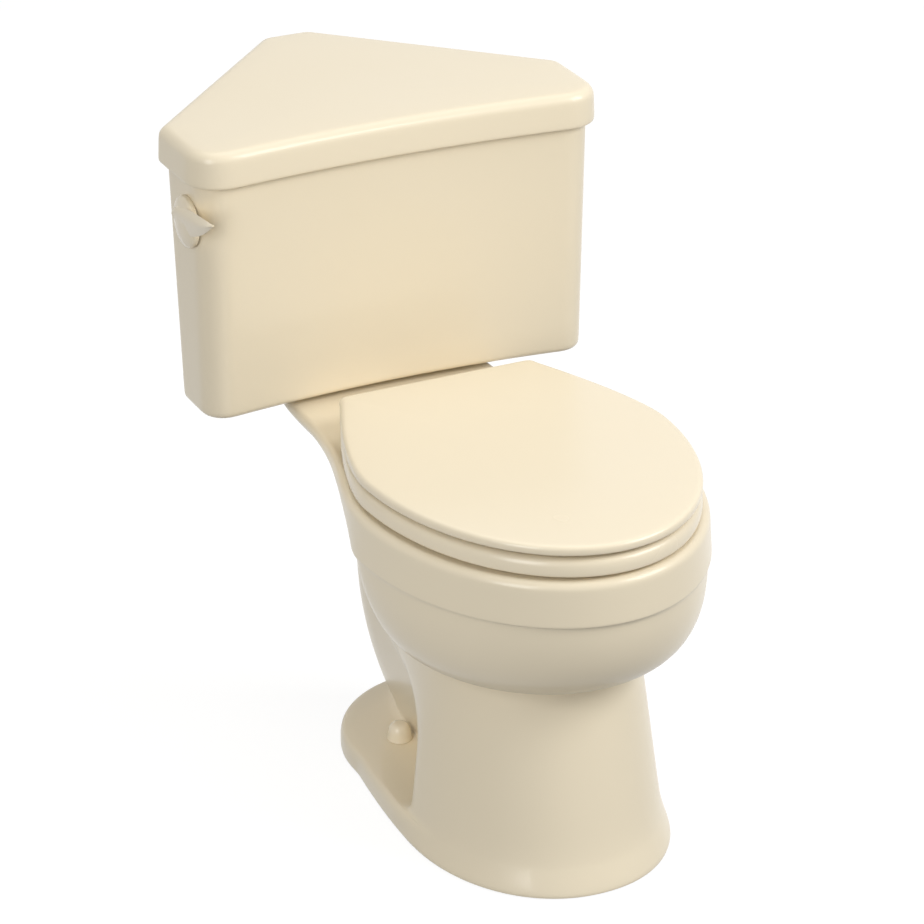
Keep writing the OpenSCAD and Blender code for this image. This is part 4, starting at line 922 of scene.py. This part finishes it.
# %% Flush lever mesh
wall_x = tank_w / 2 + tank_flare / 2 * lever_up / tank_h
boss_r, boss_h, lever_reach, heel, paddle_half, paddle_t, ridge_up = 29, 8, 88, 21, 16.5, 4, 8
boss_x, shaft_r, paddle_slices = -wall_x - 3.6, 4, 24


def paddle_section(k):
    """One slice across the paddle: wide where it covers the boss, and curving up to a narrow tip."""
    t = (1 - math.cos(math.pi * k / paddle_slices)) / 2
    s = lerp(-heel, lever_reach, t)
    middle = 3 + 0.14 * s + 0.0016 * s * s
    taper = math.sqrt(max(0, 1 - (s / heel) ** 2)) if s < 0 else 1 - (s / (lever_reach + 2)) ** 2
    h = max(0.8, paddle_half * taper)
    deep = paddle_t * min(1, h / 2.5)
    ridge = max(0, ridge_up * (1 - s / 68)) * min(1, h / 12)
    points = []
    for j in range(24):
        a = math.radians(15 * j + 7.5)
        bulge = 1 - abs(math.cos(a)) ** 1.4
        out = deep * bulge * (1 if math.sin(a) > 0 else -1)
        points.append((boss_x - 5 - out, lever_y - s, lever_z + middle + h * math.cos(a) + ridge * bulge))
    return points


lip = [(boss_r - 1.4, 0.0), (boss_r - 1.4, -3.2), (boss_r - 0.3, -3.2), (boss_r, -2.9), (boss_r, 1.2)]
arc = [math.radians(a) for a in range(10, 90, 8)]
dome = [(boss_r * math.cos(a), 1 + (boss_h - 1) * math.sin(a)) for a in arc]
boss = [(0.0, 0.0)] + lip + dome + [(0.0, boss_h)]
flush_lever = turned("flush_lever_moulding", boss, (boss_x, lever_y, lever_z), 72, axis=(-1, 0, 0))
bm = bmesh.new()
loft(bm, [paddle_section(k) for k in range(paddle_slices + 1)])
paddle = new_object("paddle", bm)
shaft_end = boss_x + tank_t + 25
shaft = rod("lever_shaft", (boss_x - 1, lever_y, lever_z), (shaft_end, lever_y, lever_z), shaft_r, bevel=0.5)
combine(flush_lever, [paddle, shaft], "UNION")
mark_sharp(flush_lever, 50)
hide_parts("flush_lever")
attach(flush_lever, "lever")
print("flush lever faces:", len(flush_lever.data.polygons))

# %% [markdown]
# ## Floor bolt caps
# A thin domed cap snaps over each floor bolt. It is a turned shell: the outer dome and the inner dome are one
# profile, spun once round.

# %% Bolt caps
cap_r, cap_h, cap_t = 14, 20, 2


def cap_dome(thinner, degrees):
    """The cap's dome, with straighter sides than a sphere's."""
    r, h = cap_r * 0.93 - thinner, cap_h * 0.65 - thinner
    angles = [math.radians(a) for a in degrees]
    return [(r * math.cos(a) ** 0.55, cap_h * 0.35 + h * math.sin(a)) for a in angles]


def cap_profile():
    """The whole shell: flange, outer dome, inner dome, and back to the start."""
    flange = [(cap_r - cap_t, 0.0), (cap_r - 0.4, 0.0), (cap_r, 0.5), (cap_r, 1.6)]
    outer, inner = cap_dome(0, range(0, 90, 6)), cap_dome(cap_t, range(84, -1, -12))
    return flange + outer + [(0.0, cap_h), (0.0, cap_h - cap_t)] + inner + [(cap_r - cap_t, 0.0)]


caps = [turned("floor_bolt_cap", cap_profile(), (s * floor_bolt_x, 0, ledge_h + 0.3), 64) for s in (-1, 1)]
for cap in caps:
    mark_sharp(cap, 45)
    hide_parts("bolt_caps")
    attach(cap, "china")
print("cap faces:", [len(cap.data.polygons) for cap in caps])

# %% [markdown]
# ## Shared looks
# Two effects are used by many finishes, so each is a node group. The first lets a colour and its roughness
# drift slightly from place to place, the second makes the faint waviness and tiny pits of a surface. A group
# gives only colours and numbers, and the shader stays in each material.

# %% Group sockets
def new_group(name, inputs, outputs):
    """An empty node group with its sockets, and the nodes that stand for them inside it."""
    group = bpy.data.node_groups.new(name, "ShaderNodeTree")
    for label, kind, value in inputs:
        socket = group.interface.new_socket(name=label, in_out="INPUT", socket_type=kind)
        socket.default_value = value
    for label, kind in outputs:
        group.interface.new_socket(name=label, in_out="OUTPUT", socket_type=kind)
    start = group.nodes.new("NodeGroupInput")
    end = group.nodes.new("NodeGroupOutput")
    return group, start, end


# %% Colour drift
def drift_group():
    """Colour that drifts slowly over the surface, with a roughness that follows it."""
    group, start, end = new_group("colour_drift", [
        ("Colour", "NodeSocketColor", (0.8, 0.8, 0.8, 1)),
        ("Second Colour", "NodeSocketColor", (0.7, 0.7, 0.7, 1)), ("Size", "NodeSocketFloat", 6.0),
        ("Amount", "NodeSocketFloat", 0.5), ("Roughness", "NodeSocketFloat", 0.2)],
        [("Colour", "NodeSocketColor"), ("Roughness", "NodeSocketFloat")])
    nodes, links = group.nodes, group.links
    place = nodes.new("ShaderNodeTexCoord")
    noise = nodes.new("ShaderNodeTexNoise")
    noise.inputs["Detail"].default_value = 3.0
    links.new(place.outputs["Object"], noise.inputs["Vector"])
    links.new(start.outputs["Size"], noise.inputs["Scale"])
    blend = nodes.new("ShaderNodeMix")
    blend.data_type = "RGBA"
    weight = math_node(group, "MULTIPLY", noise.outputs["Fac"], start.outputs["Amount"])
    links.new(weight, blend.inputs["Factor"])
    links.new(start.outputs["Colour"], blend.inputs["A"])
    links.new(start.outputs["Second Colour"], blend.inputs["B"])
    links.new(blend.outputs["Result"], end.inputs["Colour"])
    spread = nodes.new("ShaderNodeMapRange")
    set_inputs(spread, {"From Min": 0.3, "From Max": 0.7, "To Min": 0.8, "To Max": 1.2})
    links.new(noise.outputs["Fac"], spread.inputs["Value"])
    rough = math_node(group, "MULTIPLY", spread.outputs["Result"], start.outputs["Roughness"])
    links.new(rough, end.inputs["Roughness"])
    return group


# %% Surface height
def surface_group():
    """Height of a faint waviness and of fine pits."""
    group, start, end = new_group("surface_height", [
        ("Wave Size", "NodeSocketFloat", 20.0), ("Wave", "NodeSocketFloat", 1.0),
        ("Pit Size", "NodeSocketFloat", 400.0), ("Pit", "NodeSocketFloat", 0.1)],
        [("Height", "NodeSocketFloat")])
    nodes, links = group.nodes, group.links
    place = nodes.new("ShaderNodeTexCoord")
    parts = []
    for size, amount in (("Wave Size", "Wave"), ("Pit Size", "Pit")):
        noise = nodes.new("ShaderNodeTexNoise")
        noise.inputs["Detail"].default_value = 2.0
        links.new(place.outputs["Object"], noise.inputs["Vector"])
        links.new(start.outputs[size], noise.inputs["Scale"])
        parts.append(math_node(group, "MULTIPLY", noise.outputs["Fac"], start.outputs[amount]))
    links.new(math_node(group, "ADD", *parts), end.inputs["Height"])
    return group


drift, surface = drift_group(), surface_group()
print("node groups:", drift.name, surface.name)

# %% [markdown]
# ## Finishes
# Fired glaze is a clear glass coat over a cream clay body: the coat is smooth, the body under it is softer.
# Moulded plastic has one even gloss. Brass and steel are true metals with fine turning marks, rubber is
# dull and dark. Each finish sets its own plain numbers on the shader.

# %% Finish maker
def finish(name, colour, second, rough, size=6.0, amount=0.5, metal=0.0, coat=0.0, coat_rough=0.05,
           specular=0.5, wave=(20.0, 1.0), pit=(400.0, 0.1), bump=0.05, depth=0.0004):
    """A Principled material. wave and pit are each a size and a strength, depth is in metres."""
    mat = bpy.data.materials.new(name)
    mat.use_nodes = True
    mat.diffuse_color = (*colour, 1.0)
    nodes, links = mat.node_tree.nodes, mat.node_tree.links
    shader = nodes["Principled BSDF"]
    tone = nodes.new("ShaderNodeGroup")
    tone.node_tree = drift
    set_inputs(tone, {"Colour": (*colour, 1.0), "Second Colour": (*second, 1.0), "Size": size,
                      "Amount": amount, "Roughness": rough})
    links.new(tone.outputs["Colour"], shader.inputs["Base Color"])
    links.new(tone.outputs["Roughness"], shader.inputs["Roughness"])
    relief = nodes.new("ShaderNodeGroup")
    relief.node_tree = surface
    set_inputs(relief, {"Wave Size": wave[0], "Wave": wave[1], "Pit Size": pit[0], "Pit": pit[1]})
    bump_node = nodes.new("ShaderNodeBump")
    set_inputs(bump_node, {"Strength": bump, "Distance": depth})
    links.new(relief.outputs["Height"], bump_node.inputs["Height"])
    links.new(bump_node.outputs["Normal"], shader.inputs["Normal"])
    set_inputs(shader, {"Metallic": metal, "Specular IOR Level": specular, "Coat Weight": coat,
                        "Coat Roughness": coat_rough})
    return mat


# %% Finishes of the pieces
cream, cream_warm = (0.848, 0.756, 0.583), (0.830, 0.732, 0.552)
finishes = {
    "vitreous_china": finish("vitreous_glaze", cream, cream_warm, 0.36, size=3.0, coat=0.35, coat_rough=0.12,
                             specular=0.25, wave=(9.0, 1.0), pit=(260.0, 0.03), bump=0.12, depth=0.0006),
    "seat_plastic": finish("moulded_seat_gloss", (0.865, 0.770, 0.595), (0.850, 0.752, 0.570), 0.24, size=4.0,
                           wave=(14.0, 1.0), pit=(900.0, 0.03), bump=0.10, depth=0.0004),
    "cap_plastic": finish("cap_gloss", (0.870, 0.778, 0.610), (0.850, 0.755, 0.580), 0.22, size=30.0,
                          pit=(900.0, 0.05), bump=0.1),
    "lever_plastic": finish("lever_gloss", (0.855, 0.760, 0.585), (0.840, 0.740, 0.560), 0.20, size=20.0,
                            pit=(900.0, 0.05), bump=0.1),
    "white_plastic": finish("white_moulding", (0.80, 0.80, 0.77), (0.74, 0.74, 0.70), 0.38, size=25.0,
                            pit=(700.0, 0.3), bump=0.2),
    "grey_plastic": finish("grey_moulding", (0.17, 0.21, 0.26), (0.14, 0.18, 0.23), 0.40, size=25.0,
                           pit=(700.0, 0.3), bump=0.2),
    "hose_vinyl": finish("soft_vinyl", (0.55, 0.58, 0.60), (0.50, 0.54, 0.57), 0.30, size=40.0,
                         pit=(500.0, 0.2), bump=0.2),
    "black_rubber": finish("black_rubber_skin", (0.018, 0.018, 0.019), (0.030, 0.030, 0.031), 0.68, size=60.0,
                           amount=0.8, pit=(1200.0, 0.6), bump=0.5),
    "red_rubber": finish("red_rubber_skin", (0.34, 0.030, 0.022), (0.29, 0.030, 0.024), 0.55, size=60.0,
                         amount=0.8, pit=(900.0, 0.5), bump=0.4),
    "brass": finish("turned_brass", (0.62, 0.43, 0.16), (0.53, 0.35, 0.12), 0.30, size=50.0, metal=1.0,
                    pit=(1500.0, 0.5), bump=0.3),
    "stainless_steel": finish("drawn_steel", (0.56, 0.56, 0.55), (0.48, 0.48, 0.48), 0.27, size=70.0,
                              metal=1.0, pit=(1800.0, 0.5), bump=0.3),
}
print("finishes:", len(finishes))

# %% [markdown]
# ## Giving every piece its finish
# The record says which finish each CAD node has. The CAD pieces that stay visible get theirs by name, and
# the new pieces get theirs directly.

# %% Assign finishes
slot_of = {part["node"]: part["material_slot"] for part in frame["record"]["subparts"]}
for node, obj in frame["nodes"].items():
    obj.data.materials.clear()
    obj.data.materials.append(finishes[slot_of[node]])
made = {bowl: "vitreous_china", tank: "vitreous_china", lid: "vitreous_china", seat_ring: "seat_plastic",
        seat_cover: "seat_plastic", flush_lever: "lever_plastic",
        caps[0]: "cap_plastic", caps[1]: "cap_plastic"}
for obj, name in made.items():
    obj.data.materials.clear()
    obj.data.materials.append(finishes[name])
print("pieces modelled here:", len(made), "of", len(slot_of), "nodes")


bpy.context.view_layer.update()
